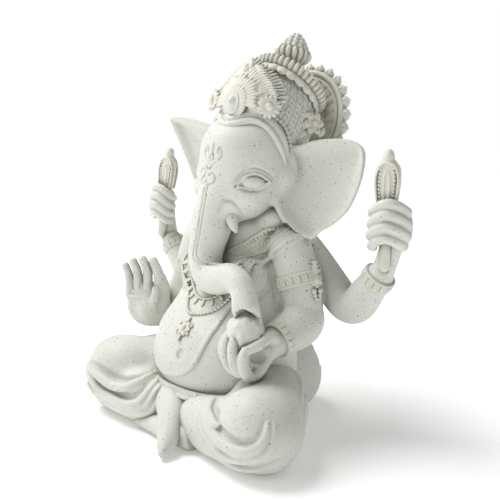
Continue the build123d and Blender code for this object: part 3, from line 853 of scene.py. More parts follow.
# the cloth rolled across the lap under the belly, gathered in pleats in the middle
waist = Clay((-32, -54, 12), (32, -28, 32), 0.4)
WAIST = [(-27, -35, 21.5, 2.6), (-19, -39.9, 20.4, 2.9), (-9, -42.6, 20.0, 3.1), (2, -43.2, 19.8, 3.2),
         (12, -42.2, 19.8, 3.1), (21, -38.6, 20.4, 2.9), (28, -33.4, 21.6, 2.6)]
waist.add(Tube(WAIST))
for rise, out, radius in ((2.0, 0.8, 0.9), (-0.2, 2.4, 0.9), (-2.4, 1.8, 0.9)):
    line = np.array(WAIST)[:, :3] + (0, -out, rise)
    fold(waist, tapered(line, radius), soft=0.9)
for i in range(5):
    x0 = 12.5 + 1.7 * i
    waist.ridge([(x0, -46.2 + 0.35 * i, 24.5, 0.5), (x0 + 1.0, -48 + 0.35 * i, 20, 0.8),
                 (x0 + 1.8, -47.6 + 0.4 * i, 15.5, 0.9)], lift=0.1, soft=0.7)
waist.polish(1)
cast(waist, "lap_cloth", "waistband")


# ------------------------------------------------------------------ head, trunk and ears
HEAD_STEP = 0.36
HEAD = Place(centre_of("head", (0.0, 0.0, -0.4)), turning(y=7.0))
skull = [
    Egg((0, 0, 0), (23, 23.5, 24), place=HEAD),
    Egg((0, -3, -13), (15, 14, 11), place=HEAD),
    Egg((11, -11, -9.5), (9.6, 9.6, 10.5), place=HEAD),
    Egg((-11, -11, -9.5), (9.6, 9.6, 10.5), place=HEAD),
    Egg((0, -14.2, 8), (14, 9.2, 11), place=HEAD),
    Egg((8.6, -5.6, 11.2), (10.2, 10.0, 10.2), place=HEAD),
    Egg((-8.6, -5.6, 11.2), (10.2, 10.0, 10.2), place=HEAD),
]
TRUNK = [(2.4, -17, 112, 10.0), (1.8, -20.5, 105, 9.7), (0.6, -22.8, 97, 9.0), (-1.0, -24.7, 87.5, 8.2),
         (-1.2, -26.6, 78.5, 7.7), (3.2, -28.2, 71.4, 7.3), (11, -29.6, 70.8, 6.8), (19.5, -31, 72.8, 6.2),
         (26.5, -32.5, 71.2, 5.6), (30.6, -33.8, 66.6, 4.8), (32, -35, 63.4, 4.4)]
trunk_shapes = [
    Tube(TRUNK),
    Egg((2.6, -14.5, 115), (13.5, 9.6, 13), turning(y=7)),
    Egg((2.0, -18.6, 104.5), (11.8, 9.2, 10.5), turning(y=4)),
    Egg((-1.6, -24, 92), (9.2, 7.6, 9.0)),
    Tube([(31.2, -35.4, 66, 3.6), (31.4, -37.2, 62.4, 2.9), (31.6, -38.5, 59.4, 1.4)],
         flat=((0.69, -0.72, 0), 1.25)),
    Tube([(32.4, -34.4, 66, 3.6), (35.2, -33.6, 62.6, 2.9), (37.6, -32.6, 59.9, 1.2)],
         flat=((0.69, -0.72, 0), 1.25)),
    Tube([(30.6, -33.2, 66, 3.4), (30.2, -31.6, 63, 2.4), (30, -30.6, 61.2, 1.2)]),
]
face, face_parts = blended(
    (-29, -48, 54), (43, 24, 146), HEAD_STEP,
    {"head": (5.0, skull), "trunk": (3.0, trunk_shapes)},
    {"trunk": 6.0},
)
face.add(Egg((33.4, -35.6, 63.6), (4.6, 3.6, 4.2)), soft=1.5)
face.carve(Egg((34.6, -37.4, 57.4), (3.6, 5.6, 6.0)), soft=0.8)   # the arch of the trunk's mouth

EYE_TOP = [(11.4, -19.6, -6.9), (12.6, -18.9, -4.4), (15.3, -17.4, -1.4), (17.8, -14.9, -0.2),
           (19.9, -11.6, -1.2),
           (20.9, -8.6, -3.2)]
EYE_LOW = [(11.4, -19.6, -6.9), (13.4, -17.6, -7.3), (16.5, -14.9, -6.9), (19.3, -11.7, -5.0),
           (20.9, -8.6, -3.2)]
LID_FOLD = [(10.2, -20.6, -5.6), (12.4, -19.6, -2.2), (15.4, -17.6, 1.4), (18.3, -14.6, 2.3),
            (20.9, -10.6, 0.7),
            (22.2, -7.0, -2.0)]
for side in (1, -1):
    eye_place = Place(side=side, parent=HEAD)
    face.carve(Egg((17.4, -16.6, -3.8), (6.4, 2.2, 4.4), turning(z=52), place=eye_place), soft=2.0)
    face.add(Egg((15.9, -14.0, -4.1), (5.4, 3.3, 3.5), turning(z=50), place=eye_place), soft=0.5)
    face.groove(tapered(np.array(EYE_TOP) + (0, -0.2, -0.75), 0.5), lift=0.0, soft=0.3, place=eye_place)
    face.ridge(tapered(np.array(EYE_TOP), 0.8), lift=0.3, soft=0.4, place=eye_place)
    face.ridge(tapered(np.array(EYE_LOW), 0.6), lift=0.15, soft=0.5, place=eye_place)
    face.groove(tapered(np.array(LID_FOLD), 0.6, 0.3), lift=-0.05, soft=0.45, place=eye_place)
    for corner in (EYE_TOP[0], (20.0, -10.2, -3.4)):
        face.carve(bead(face.snap(eye_place.out([corner]))[0], 0.62), soft=0.5)
    # cheek crease over the tusk, and the fold that runs down beside the trunk
    face.groove([(*eye_place.out([p])[0], r) for p, r in
                 (((6.6, -23.4, -17.8), 0.3), ((8.2, -22.2, -13.2), 0.9), ((11.2, -20.2, -12.6), 1.0),
                  ((13.6, -17.8, -15.6), 0.8), ((13.6, -15.8, -20.5), 0.4))], lift=0.05, soft=0.8)

# engraved ornaments on the brow: a lotus of curls round a drop, and one long curl under it
CURLS = [
    [(-3.9, -22.3, 3.6), (-4.9, -22, 5.6), (-4.2, -21.8, 7.6), (-2.9, -21.7, 8.2), (-2.6, -22, 6.9),
     (-3.3, -22.2, 6.3)],
    [(0.1, -22.9, 5.9), (0.2, -22.5, 7.7), (0.1, -22, 9.6)],
    [(3.7, -22.3, 3.6), (4.9, -21.8, 5.4), (4.6, -21.4, 7.6), (3.3, -21.3, 8.5), (2.7, -21.8, 7.2),
     (3.4, -22, 6.4)],
    [(-1.3, -23.1, 4.2), (0, -23.1, 5.6), (1.2, -23, 4.2), (0, -23.3, 2.8), (-1.3, -23.1, 4.2)],
    [(-7.4, -22, -3.8), (-5.8, -23.0, -1.6), (-3.2, -23.6, -2.0), (-3.0, -23.8, -4.4), (-4.8, -23.8, -5.4),
     (-6.2, -23.4, -7.0), (-4.6, -23.8, -8.4), (-2.4, -24, -7.6)],
    [(-1.6, -24, -6.6), (0.4, -23.9, -8.0), (2.8, -23.6, -7.0), (3.2, -23.4, -4.0), (1.2, -23.5, -2.4),
     (-0.6, -23.7, -4.0)],
    [(-3.4, -23.4, 0.0), (-1.4, -23.8, -1.2), (0.8, -23.4, 0.2)],
]
for curl in CURLS:
    face.groove(with_radius(np.array(curl), 0.46), lift=-0.1, soft=0.12, place=HEAD)
for spot in ((-2.2, 2.2), (-1.1, 1.4), (0.1, 1.0), (1.3, 1.4), (2.3, 2.2), (-0.6, -0.9), (-2.2, -0.4)):
    at = face.snap(HEAD.out([(spot[0], -23.4, spot[1])]))[0]
    face.carve(Egg(at, (0.5, 0.5, 0.6)), soft=0.12)

TRUNK_LINE = [(1.6, -27.6, 109.6), (1.9, -29.7, 104.7), (1.7, -30.8, 100.4), (1.3, -31.7, 93.8),
              (0.3, -32.5, 87.1),
              (-0.3, -33.3, 82.2), (0.7, -33.6, 79.2), (3.6, -33.2, 77.4), (8, -31.5, 77.2), (13,
              -31.5, 77.3),
              (17.5, -33, 78.2)]
line = np.array(TRUNK_LINE)
for offset in ((-0.85, -0.2, -0.5), (0.85, -0.1, 0.5)):
    face.groove(with_radius(line + offset, 0.42), lift=-0.12, soft=0.12)
face.groove([(0.75, -27.9, 109.1, 0.36), (1.0, -27.4, 110.2, 0.36), (2.0, -27.3, 110.8, 0.36),
             (2.6, -27.3, 110.0, 0.36)], lift=0.05, soft=0.15)

# fine pits, as left by the bubbles of the casting
for _ in range(90):
    spot = HEAD.out([(RNG.uniform(-18, 21), -20.0, RNG.uniform(-14, 13))])
    face.carve(bead(face.snap(spot)[0], RNG.uniform(0.2, 0.36)), soft=0.15)

face_pieces = share(face, face_parts)
cast(face_pieces["head"], "head_cast", "head")
cast(face_pieces["trunk"], "trunk_cast", "trunk")

for side, name in ((1, "left"), (-1, "right")):
    tusk_place = Place(side=side, parent=HEAD)
    tusk = Clay.around([Egg((11, -21, -20), (8, 8, 9), place=tusk_place)], 0.3)
    tusk.add(Tube([(8.6, -17.4, -18.6, 3.2), (10.0, -18.9, -20.6, 3.0), (11.6, -19.4, -22.8, 2.4),
                   (13.0, -19.4, -24.8, 1.6), (13.9, -19.2, -26.2, 0.8)], place=tusk_place))
    cast(tusk, f"tusk_cast_{name}", f"tusk_{name}")

EAR_OUTLINE = [(-3, 9), (5, 14), (12, 17.2), (22, 19.6), (28.5, 19.3), (32.8, 16), (34.6, 8),
               (34.6, 0), (33, -9),
               (28.5, -16.5), (24, -20.8), (21, -25), (14, -24.5), (6.5, -20), (1, -13), (-3, -4)]
NARROW_EAR = [(-3, 9), (6, 14.6), (16, 16.8), (26, 17.6), (33.6, 16.4), (33, 10.5), (29.5, 2),
              (25.5, -7), (22, -15),
              (17.5, -22), (11.5, -23.5), (6.5, -20), (1, -13), (-3, -4)]
for side, name in ((1, "left"), (-1, "right")):
    base = Place(side=side, parent=HEAD)
    if side > 0:
        ear_place = Place((20, 3, 0), turning(x=-15) @ turning(z=16), parent=base)
    else:
        ear_place = Place((20, 3, 0), parent=base)
    outline = EAR_OUTLINE if side > 0 else NARROW_EAR

    def dish(x, z, inside, left=side > 0):
        """The ear's mid-surface: a hollow dish with its rim curled forward."""
        hollow = 4.6 * (1.0 - np.exp(-np.clip(inside, 0, 30) / 5.5))
        curl = -1.2 * np.exp(-np.clip(inside, 0, 30) / 2.2)
        sweep = 0.0 if left else x * (-0.16 + (17.0 - z) * 0.0108)
        return hollow + curl + sweep - 1.0

    def flesh(x, z, inside):
        rim = np.exp(-((inside - 1.9) / 1.7) ** 2)
        high = np.clip((z + 2.0) / 14.0, 0.0, 1.0)
        return 1.25 + rim * (0.55 + 0.95 * high)

    leaf = Leaf(outline, ear_place, dish, flesh)
    ear = Clay.around([leaf], 0.42, room=1.0)
    head_only = ear.blank()
    for shape in skull:
        head_only.add(shape, soft=5.0)
    ear.add(leaf)
    front_fold = [(-2.0, -2.6, 10.5, 1.6), (1.2, -2.2, 7.2, 1.5), (3.4, -0.2, 2.0, 1.3),
                  (3.6, 0.2, -2.0, 1.4),
                  (1.4, -1.4, -6.0, 1.7), (-0.4, -2.6, -10.5, 1.6), (1.6, -2.6, -15.5, 1.4), (6.0,
                  -1.6, -20.5, 1.2)]
    ear.add(Tube(front_fold, place=ear_place), soft=2.0)
    ear.add(Egg((0.5, -1.5, -1.5), (4.2, 3.6, 5.0), place=ear_place), soft=2.0)
    whole = melt(ear.field, head_only.field, 3.5)
    above = head_only.field - whole
    ear.field = np.maximum(whole, 2.0 * (0.06 - above)).astype(np.float32)
    cast(ear, f"ear_cast_{name}", f"ear_{name}")


# ------------------------------------------------------------------ crown
def circle(radius, height=0.0, start=-180.0, stop=180.0, count=48):
    """Points round a place's z axis; the angle is 0 at the front, towards -Y."""
    turns = np.radians(np.linspace(start, stop, count, endpoint=abs(stop - start) < 360))
    return np.column_stack([radius * np.sin(turns), -radius * np.cos(turns), np.full(count, float(height))])


def spokes(count, place, start=0.0):
    """Places turned evenly round a place's z axis."""
    return [Place((0, 0, 0), turning(z=start + 360.0 * i / count), parent=place) for i in range(count)]


def blossom(clay, place, petals, reach, wide, thick, heart, pointed=0.0):
    """A flower facing its place's +Z: a ring of petals round a raised heart."""
    for spoke in spokes(petals, place):
        clay.add(Egg((reach * 0.58, 0, 0.1), (reach * 0.46, wide, thick), place=spoke), soft=0.15)
        if pointed:
            clay.add(Tube([(reach * 0.7, 0, 0.1, wide * 0.7), (reach + pointed, 0, 0.2, 0.15)],
                          per=1, place=spoke),
                     soft=0.25)
        clay.carve(Tube([(reach * 0.45, 0, thick + 0.1, 0.16), (reach * 0.9, 0, thick, 0.2)], per=1,
                        place=spoke),
                   soft=0.15)
    clay.add(Egg((0, 0, 0.2), (heart * 1.25, heart * 1.25, thick * 1.1), place=place), soft=0.2)
    clay.add(Egg((0, 0, thick + 0.2), (heart, heart, heart * 0.7), place=place), soft=0.15)


def along_curve(points, spacing):
    """Evenly spaced points on a polyline, with the direction there."""
    p = np.asarray(points, float)
    run = np.concatenate([[0], np.cumsum(np.linalg.norm(np.diff(p, axis=0), axis=1))])
    stops = np.arange(spacing / 2, run[-1], spacing)
    at = np.column_stack([np.interp(stops, run, p[:, k]) for k in range(3)])
    ahead = np.column_stack([np.interp(stops + 0.2, run, p[:, k]) for k in range(3)])
    behind = np.column_stack([np.interp(stops - 0.2, run, p[:, k]) for k in range(3)])
    way = ahead - behind
    return at, way / (np.linalg.norm(way, axis=1, keepdims=True) + 1e-9)


def lying(at, normal, along):
    """A place at a point, with z along the normal and x along a direction."""
    z = normal / np.linalg.norm(normal)
    x = along - z * (along @ z)
    x /= np.linalg.norm(x) + 1e-9
    return Place(at, np.column_stack([x, np.cross(z, x), z]))


CROWN_STEP = 0.3
BROW = Place((0, 1, 5.4), turning(x=-40), parent=HEAD)
RIM = Place((0, 18.6, 35.4), turning(x=-41), parent=HEAD)
dome = Clay((-20, -20, 118), (33, 34, 168), 0.27)
dome.add(Pile([(-5, 1.5, 19.4, 19.4), (0, 0, 20.3, 19.8), (8, -1.2, 21.0, 20.2), (15.6, -2.6, 21.2, 20.2),
               (24, -4.2, 20.0, 19.0), (30, -5.2, 17.8, 17.4), (34.3, -5.8, 16.2, 16.0)], place=BROW))


def lattice(x, y, z):
    """Engraved diamonds with a pit in each, in bands round the dome."""
    lx, ly, lz = BROW.into(x, y, z)
    hx, hy, hz = HEAD.into(x, y, z)
    a, b = np.arctan2(hx, 8.0 - hy) * 21.0 / 4.4, hz / 7.6
    first = np.abs((a + b) - np.round(a + b))
    second = np.abs((a - b) - np.round(a - b))
    lines = np.maximum(np.exp(-(first / 0.13) ** 2), np.exp(-(second / 0.13) ** 2))
    pits = np.exp(-((first - 0.5) ** 2 + (second - 0.5) ** 2) / 0.02)
    shown = np.clip((lz - 9.0) / 1.0, 0, 1) * np.clip((31.0 - lz) / 1.0, 0, 1)
    return -(0.8 * lines + 0.9 * pits) * shown


dome.emboss((-20, -20, 118), (33, 34, 168), lattice)
cast(dome, "lattice_dome", "crown_dome", finish=PLAIN)

cap = Clay.around([Egg((0, 0, 0), (17, 17, 14), place=RIM)], CROWN_STEP)
cap.add(Egg((0, 0, 0), (16.4, 16.4, 9.8), place=RIM))


def gores(x, y, z):
    """Shallow gores from the cap's rim up to the finial."""
    lx, ly, lz = RIM.into(x, y, z)
    around = np.arctan2(lx, -ly) * 20 / (2 * math.pi)
    seam = np.abs(around - np.round(around))
    reach = np.clip((np.hypot(lx, ly) - 3.0) / 5.0, 0, 1)
    return -0.45 * np.exp(-(seam / 0.08) ** 2) * reach


cap.emboss(cap.low, cap.low + cap.step * np.array(cap.shape()), gores)
for ring_radius, ring_height in ((13.4, 5.6), (9.6, 7.9)):
    cap.add(Tube(with_radius(circle(ring_radius, ring_height), 0.55), per=1, closed=True,
                 place=RIM), soft=0.5)
cap.cut_plane(RIM.out([(0, 0, -1.0)])[0], -RIM.turn[:, 2])
cast(cap, "gored_cap", "crown_cap", finish=PLAIN)

# the double roll over the brow: low in the middle and at the ears, high between
UPPER_ROLL = [(0, 1.5), (4, 2.0), (8, 3.4), (17, 6.4), (30, 8.2), (46, 7.6), (62, 5.5), (78, 2.6), (89, -0.3),
              (97, -3.0), (104, -5.5)]
LOWER_ROLL = [(0, -2.0), (4, -1.9), (8, -1.2), (15, 0.6), (23, 3.3), (34, 4.9), (48, 4.5),
              (62, 2.3), (77, -0.3),
              (90, -2.9), (98, -5.4), (104, -7.4)]
BEAD_ROLL = [(40, 11.0), (46, 11.0), (55, 10.9), (65, 9.5), (74, 7.4), (83, 5.1), (90, 3.0), (96, 0.9)]


def brow_line(rows, radius, start, stop, count):
    """A line round the brow at a radius, with its height read from (angle, height) rows."""
    turns = np.linspace(start, stop, count)
    points = circle(radius, 0, start, stop, count)
    points[:, 2] = np.interp(np.abs(turns), *np.array(rows, float).T)
    return points


band = Clay((-24, -26, 112), (32, 12, 150), CROWN_STEP)
turns = np.linspace(-104, 104, 61)
fade = np.clip((106 - np.abs(turns)) / 40, 0.3, 1.0)
for rows, radius, size in ((UPPER_ROLL, 21.5, 2.35), (LOWER_ROLL, 22.4, 1.7)):
    line = brow_line(rows, radius, -104, 104, 61)
    kernel = np.array([0.25, 0.5, 0.25])
    line[1:-1, 2] = np.convolve(line[:, 2], kernel, "valid")
    band.add(Tube(np.column_stack([line, size * fade]), per=2, place=BROW), soft=0.0 if size > 2 else 0.35)
for start, stop in ((40, 96), (-96, -40)):
    strand = BROW.out(brow_line(BEAD_ROLL, 21.6, start, stop, 40))
    beads, ways = along_curve(strand, 1.9)
    for at, way in zip(beads, ways):
        band.add(Egg((0, 0, 0), (0.98, 1.3, 1.0), place=lying(at, at - BROW.origin, way)), soft=0.25)
band.polish(1)
cast(band, "brow_rolls", "crown_band", finish=PLAIN)

# the pleated ribbon round the cap, and the row of scallops under it
frill = Clay.around([Egg((0, 0, 1.0), (23, 23, 5.5), place=RIM)], CROWN_STEP, room=1.0)
frill.add(Tube(with_radius(circle(16.6, 1.2), 1.7), per=1, closed=True, place=RIM))
for spoke in spokes(46, RIM):
    frill.add(Egg((18.1, 0, 1.9), (1.9, 1.3, 2.7), turning(y=28), place=spoke), soft=0.3)
cast(frill, "pleated_ribbon", "crown_frill", finish=TRIM)

scallops = Clay.around([Egg((0, 0, -2.5), (22, 22, 5), place=RIM)], CROWN_STEP, room=1.0)
scallops.add(Tube(with_radius(circle(17.2, -1.6, -150, 150, 60), 1.3), per=1, place=RIM))
for i in range(-8, 9):
    spoke = Place((0, 0, 0), turning(z=-90 + 14.6 * i), parent=RIM)
    scallops.add(Egg((18.0, 0, -2.5), (1.25, 2.6, 2.2), turning(y=-16), place=spoke), soft=0.45)
    for way in (-1, 1):
        scallops.carve(Tube([(20.2, way * 0.35, -0.9, 0.2), (19.6, way * 1.0, -4.0, 0.25)], per=1,
                            place=spoke),
                       soft=0.2)
cast(scallops, "scallop_row", "crown_knuckles", finish=TRIM)

FIN = Place((0, 19.9, 45.4), turning(x=-10), parent=HEAD)
finial = Clay.around([Tube([(0, 0, -4, 9), (0, 0, 16, 4)], per=1, place=FIN)], 0.28, room=0.5)
finial.add(Pile([(-4, 0, 5.2, 5.2), (-1, 0, 4.5, 4.5), (2, 0, 4.9, 4.9), (4.4, 0, 6.2, 6.2),
                 (6.6, 0, 7.2, 7.2),
                 (8.6, 0, 6.6, 6.6)], place=FIN))
finial.add(Pile([(7.5, 0, 6.6, 6.6), (9.6, 0, 6.0, 6.0), (11.6, 0, 4.9, 4.9), (13.6, 0, 3.5, 3.5),
                 (15.2, 0, 2.0, 2.0), (16.2, 0, 0.8, 0.8)], place=FIN), soft=0.5)
for spoke in spokes(16, FIN):
    finial.add(Tube([(5.6, 0, 3.0, 0.5), (7.0, 0, 5.2, 1.15), (7.6, 0, 7.3, 1.2), (7.1, 0, 8.6, 0.85)], per=2,
                    place=spoke), soft=0.2)
for height, radius, count, size in ((10.0, 5.7, 14, 1.15), (12.1, 4.5, 11, 1.1), (13.9, 3.1, 8, 1.0),
                                    (15.4, 1.6, 5, 0.9)):
    for spoke in spokes(count, FIN, start=180.0 * (count % 2) / count):
        finial.add(Egg((radius, 0, height), (size, size, size * 1.1), place=spoke), soft=0.2)
for height, radius in ((0.2, 4.6), (2.6, 5.1)):
    finial.add(Tube(with_radius(circle(radius, height, count=30), 0.5), per=1, closed=True,
                    place=FIN), soft=0.3)
cast(finial, "lotus_finial", "finial", finish=TRIM)

# ------------------------------------------------------------------ halo
HALO = Place((1, 31, 21.4), turning(x=76), parent=HEAD)
halo = Clay.around([Egg((0, 0, 1.5), (27, 27, 4.5), place=HALO),
                    Egg((0, 0, 7), (14, 14, 6), place=HALO)], 0.32,
                   room=0.5)
halo.add(Pile([(-1.3, 0, 23.6, 23.6), (1.1, 0, 23.6, 23.6)], place=HALO))
halo.add(Pile([(-1.0, 0, 13.5, 13.5), (4, 0, 13, 13), (9, 0, 11.5, 11.5), (12, 0, 9.5, 9.5)], place=HALO))
halo.add(Egg((0, 1.5, -0.6), (13.0, 12.2, 5.0), place=HALO), soft=0.4)   # the plain boss behind
for face_side in (1, -1):
    for radius, size in ((24.2, 1.35), (21.5, 0.85), (13.6, 0.8)):
        height = face_side * (1.1 if radius > 20 else 1.4)
        halo.add(Tube(with_radius(circle(radius, height, count=72), size), per=1, closed=True,
                      place=HALO), soft=0.3)
    for spoke in spokes(28, HALO):
        halo.add(Tube([(14.0, 0, face_side * 0.7, 1.2), (17.2, 0, face_side * 0.7, 1.75),
                       (20.0, 0, face_side * 0.7, 2.0)], per=2, place=spoke, flat=(spoke.turn[:, 2],
                                                                                   1.6)), soft=0.1)
        for way in (-1, 0, 1):
            halo.carve(Tube([(15.5 + abs(way), way * 0.3, face_side * 2.0, 0.2),
                             (20.4, way * 1.25, face_side * 1.8, 0.26)], per=1, place=spoke), soft=0.15)
cast(halo, "ribbed_halo", "halo_disc", finish=TRIM)

rays = Clay.around([Egg((0, 0, 1), (30, 30, 3), place=HALO)], 0.32, room=0.5)
rays.add(Tube(with_radius(circle(25.0, 0, count=72), 1.0), per=1, closed=True, place=HALO))
for spoke in spokes(26, HALO):
    rays.add(Egg((26.0, 0, 0.2), (2.2, 2.8, 2.1), place=spoke), soft=0.25)
    rays.add(Tube([(26.6, 0, 0.2, 1.8), (28.4, 0, 0.2, 0.6)], per=1, place=spoke), soft=0.5)
    rays.carve(Tube([(25.0, 0, 2.3, 0.25), (28.0, 0, 1.7, 0.3)], per=1, place=spoke), soft=0.2)
cast(rays, "halo_rays", "halo_beads", finish=TRIM)


# ------------------------------------------------------------------ diadem
FAN_HEART = 28.0               # height of the medallion that the fan spreads from, in the head's frame
FAN_FACING = HEAD.turn @ np.array([0.0, -0.9, 0.42])


def diadem_y(x, z):
    """The diadem's front surface in the head's frame: it leans back and wraps round the dome."""
    up = np.maximum(z - FAN_HEART, 0.0)
    return -12.6 + 0.0257 * up ** 2 + (0.012 + 0.003 * up) * x * x


def on_diadem(x, z, out=0.0):
    """A point on the diadem's front surface, out mm in front of it."""
    return (x, diadem_y(x, z) - out, z)


HALF_DIADEM = [(4.4, 45.6), (8.2, 43.0), (12.4, 39.2), (16.2, 35.7), (19.2, 32.5), (20.3, 29), (19, 26)]
DIADEM = [*mirrored(HALF_DIADEM)[::-1], (0, 47.4), *HALF_DIADEM, (10, 24), (0, 23), (-10, 24)]
diadem_leaf = Leaf(DIADEM, HEAD, lambda x, z, inside: diadem_y(x, z) + 0.9, lambda x, z, inside: 1.1 + 0 * x,
                   reach=24.0)
diadem = Clay((-24, -26, 136), (38, 10, 172), 0.26)
diadem.add(diadem_leaf)


def fan_reach(turn):
    """How far the fan runs from the medallion at an angle from straight up, in mm."""
    line = flowing(DIADEM, 6, closed=True)
    angles = np.arctan2(line[:, 0], line[:, 1] - FAN_HEART)
    lengths = np.hypot(line[:, 0], line[:, 1] - FAN_HEART)
    order = np.argsort(angles)
    return np.interp(turn, angles[order], lengths[order])


def barb(inner, outer, turn, size, out):
    """A rounded feather barb on the fan, from inner to outer mm away from the medallion."""
    rows = []
    for t, swell in ((0.0, 0.7), (0.4, 1.0), (0.8, 0.95), (1.0, 0.45)):
        reach = inner + (outer - inner) * t
        x, z = reach * math.sin(turn), FAN_HEART + reach * math.cos(turn)
        rows.append((*on_diadem(x, z, out), size * swell))
    return Tube(rows, per=2, place=HEAD)


for degrees in np.arange(-99, 99.1, 5.5):
    turn = math.radians(degrees)
    diadem.add(barb(8.0, fan_reach(turn) + RNG.uniform(0.2, 1.3), turn, 0.86, 0.6), soft=0.1)
for degrees in np.arange(-98, 98.1, 8.2):
    turn = math.radians(degrees)
    diadem.add(barb(4.5, min(RNG.uniform(11.2, 13.2), fan_reach(turn) + 0.6), turn, 0.98, 1.4), soft=0.1)
for degrees in np.arange(-174, 180, 12.0):
    turn = math.radians(degrees)
    diadem.add(barb(3.0, min(6.9 + 1.6 * max(0.0, math.cos(turn)), fan_reach(turn) + 1.0), turn,
                    0.9, 2.0), soft=0.1)
# a braided border runs from each daisy up to the point
for side in (1, -1):
    border = np.array([(side * 16.8, 31.0), (side * 14.2, 33.8), (side * 11.2, 37.0), (side * 7.6, 40.6),
                       (side * 3.8, 44.0)])
    spine = flowing(border, 8)
    spine3 = HEAD.out(np.array([on_diadem(x, z, 0.9) for x, z in spine]))
    diadem.add(Tube(with_radius(spine3, 0.6), per=1), soft=0.2)
    spots, ways = along_curve(spine3, 1.35)
    for at, way in zip(spots, ways):
        place = lying(at, FAN_FACING, way)
        for hand in (1, -1):
            diadem.add(Tube([(0.5, 0, 0.2, 0.5), (-0.5, hand * 1.5, 0.1, 0.55),
                             (-1.3, hand * 2.7, -0.5, 0.32)], per=2,
                            place=place), soft=0.12)
eye_at = lying(HEAD.out([on_diadem(0, 43.4, 0.9)])[0], FAN_FACING, HEAD.turn @ np.array([1.0, 0, 0]))
diadem.add(Egg((0, 0, 0), (2.5, 3.9, 1.0), place=eye_at), soft=0.2)
diadem.carve(Egg((0, -0.3, 1.0), (1.4, 2.4, 0.9), place=eye_at), soft=0.2)
diadem.add(Egg((0, -0.8, 0.3), (0.75, 1.2, 0.8), place=eye_at), soft=0.1)
cast(diadem, "feather_fan", "diadem_plumes", finish=TRIM)

MED = Place((0, -14.9, 28.0), turning(x=84), parent=HEAD)
medal = Clay.around([Egg((0, 0, 0), (6.5, 8, 4.5), place=MED)], 0.24, room=0.5)
medal.add(Egg((0, 0, -0.6), (3.9, 4.8, 2.0), place=MED))
medal.add(Tube([(*row, 0.75) for row in zip(3.5 * np.cos(np.linspace(0, 2 * math.pi, 36, endpoint=False)),
                                            4.4 * np.sin(np.linspace(0, 2 * math.pi, 36, endpoint=False)),
                                            np.full(36, 0.1))], per=1, closed=True, place=MED), soft=0.3)
medal.add(Egg((0, 0.2, 0.9), (2.1, 2.7, 1.6), place=MED), soft=0.6)
medal.add(Egg((0, 0.2, 2.2), (0.8, 1.0, 0.8), place=MED), soft=0.6)
cast(medal, "oval_boss", "medallion", finish=PLAIN)

daisies = Clay((-27, -24, 128), (38, 24, 156), 0.28)
for side in (1, -1):
    base = Place(side=side, parent=HEAD)
    daisy = Place((17.4, -10.2, 28.0), turning(z=50 if side > 0 else 16) @ turning(x=80), parent=base)
    blossom(daisies, daisy, 13, 4.9, 1.05, 0.9, 1.7, pointed=0.4)
    leafy = Place((22.0, 15.0, 22.5), turning(z=70) @ turning(x=80), parent=base)
    blossom(daisies, leafy, 6, 5.0, 1.9, 1.0, 1.5, pointed=0.5)
    for k, (lx, ly) in enumerate(((-5.0, -1.0), (-4.4, 3.4), (-5.6, -5.0), (4.6, -3.6))):
        daisies.add(Egg((lx, ly, -0.4), (2.6, 1.5, 0.9), turning(z=160 + 25 * k), place=leafy), soft=0.2)
cast(daisies, "crown_daisies", "crown_flowers", finish=TRIM)


# ------------------------------------------------------------------ jewellery
JEWEL_STEP = 0.27


def link(clay, place, size):
    """A square link with a ring in it, lying in its place's x-y plane."""
    half = size / 2
    corners = [(-half, -half), (half, -half), (half, half), (-half, half)]
    clay.add(Tube([(cx, cy, 0.1, 0.36) for cx, cy in corners], per=1, closed=True, place=place), soft=0.1)
    clay.add(Tube(with_radius(circle(half * 0.52, 0.2, count=10), 0.3), per=1, closed=True,
                  place=place), soft=0.05)
    clay.add(Egg((0, 0, 0), (half * 0.9, half * 0.9, 0.25), place=place))


collar = Clay((-33, -27, 70), (33, 22, 98), JEWEL_STEP)
UPPER = [(0, -19, 80.4), (5.5, -17.4, 82.4), (10.8, -14.8, 85.2), (15.0, -12.2, 88.4), (19.0, -8.4, 91.6),
         (19.6, -2, 94), (16.0, 6.0, 95), (8.5, 11.5, 94.5)]
LOWER = [(0, -20.6, 76.0), (6.5, -20.0, 77.4), (12.4, -18.4, 79.6), (18.2, -15.2, 82.8), (24.0, -12.2, 86.6),
         (28.4, -8.4, 90.0), (28.4, -1.0, 91.8), (22.0, 10.0, 90.5), (11, 15.6, 88.5)]


def whole_ring(half, back):
    """A closed ring from its left half: the front middle first, and the back middle by itself."""
    left = flowing(half + [back], 6)[:-1]
    right = left[:0:-1] * (-1, 1, 1)
    return np.vstack([left, [back], right])


def evenly(ring, count):
    """The closed ring resampled to count evenly spaced points."""
    p = np.vstack([ring, ring[:1]])
    run = np.concatenate([[0], np.cumsum(np.linalg.norm(np.diff(p, axis=0), axis=1))])
    stops = np.linspace(0, run[-1], count, endpoint=False)
    return np.column_stack([np.interp(stops, run, p[:, k]) for k in range(3)])


upper = evenly(whole_ring(UPPER, (0, 13.5, 94)), 160)
lower = evenly(whole_ring(LOWER, (0, 17.5, 87.5)), 160)


def collar_row(part, lift=0.0):
    """A ring on the chest, a part of the way from the collar's upper edge to its lower one."""
    return bust.snap(upper * (1 - part) + lower * part, lift)


for part in np.linspace(0.0, 1.0, 9):
    collar.add(Tube(with_radius(collar_row(part, -0.75), 1.15), per=1, closed=True), soft=0.5)
for part, size in ((0.0, 0.75), (0.40, 0.5), (1.0, 0.65)):
    collar.add(Tube(with_radius(collar_row(part, 0.25), size), per=1, closed=True), soft=0.15)


def closed_spots(points, spacing):
    """Evenly spaced points on a ring, with the direction there."""
    return along_curve(np.vstack([points, points[:1]]), spacing)


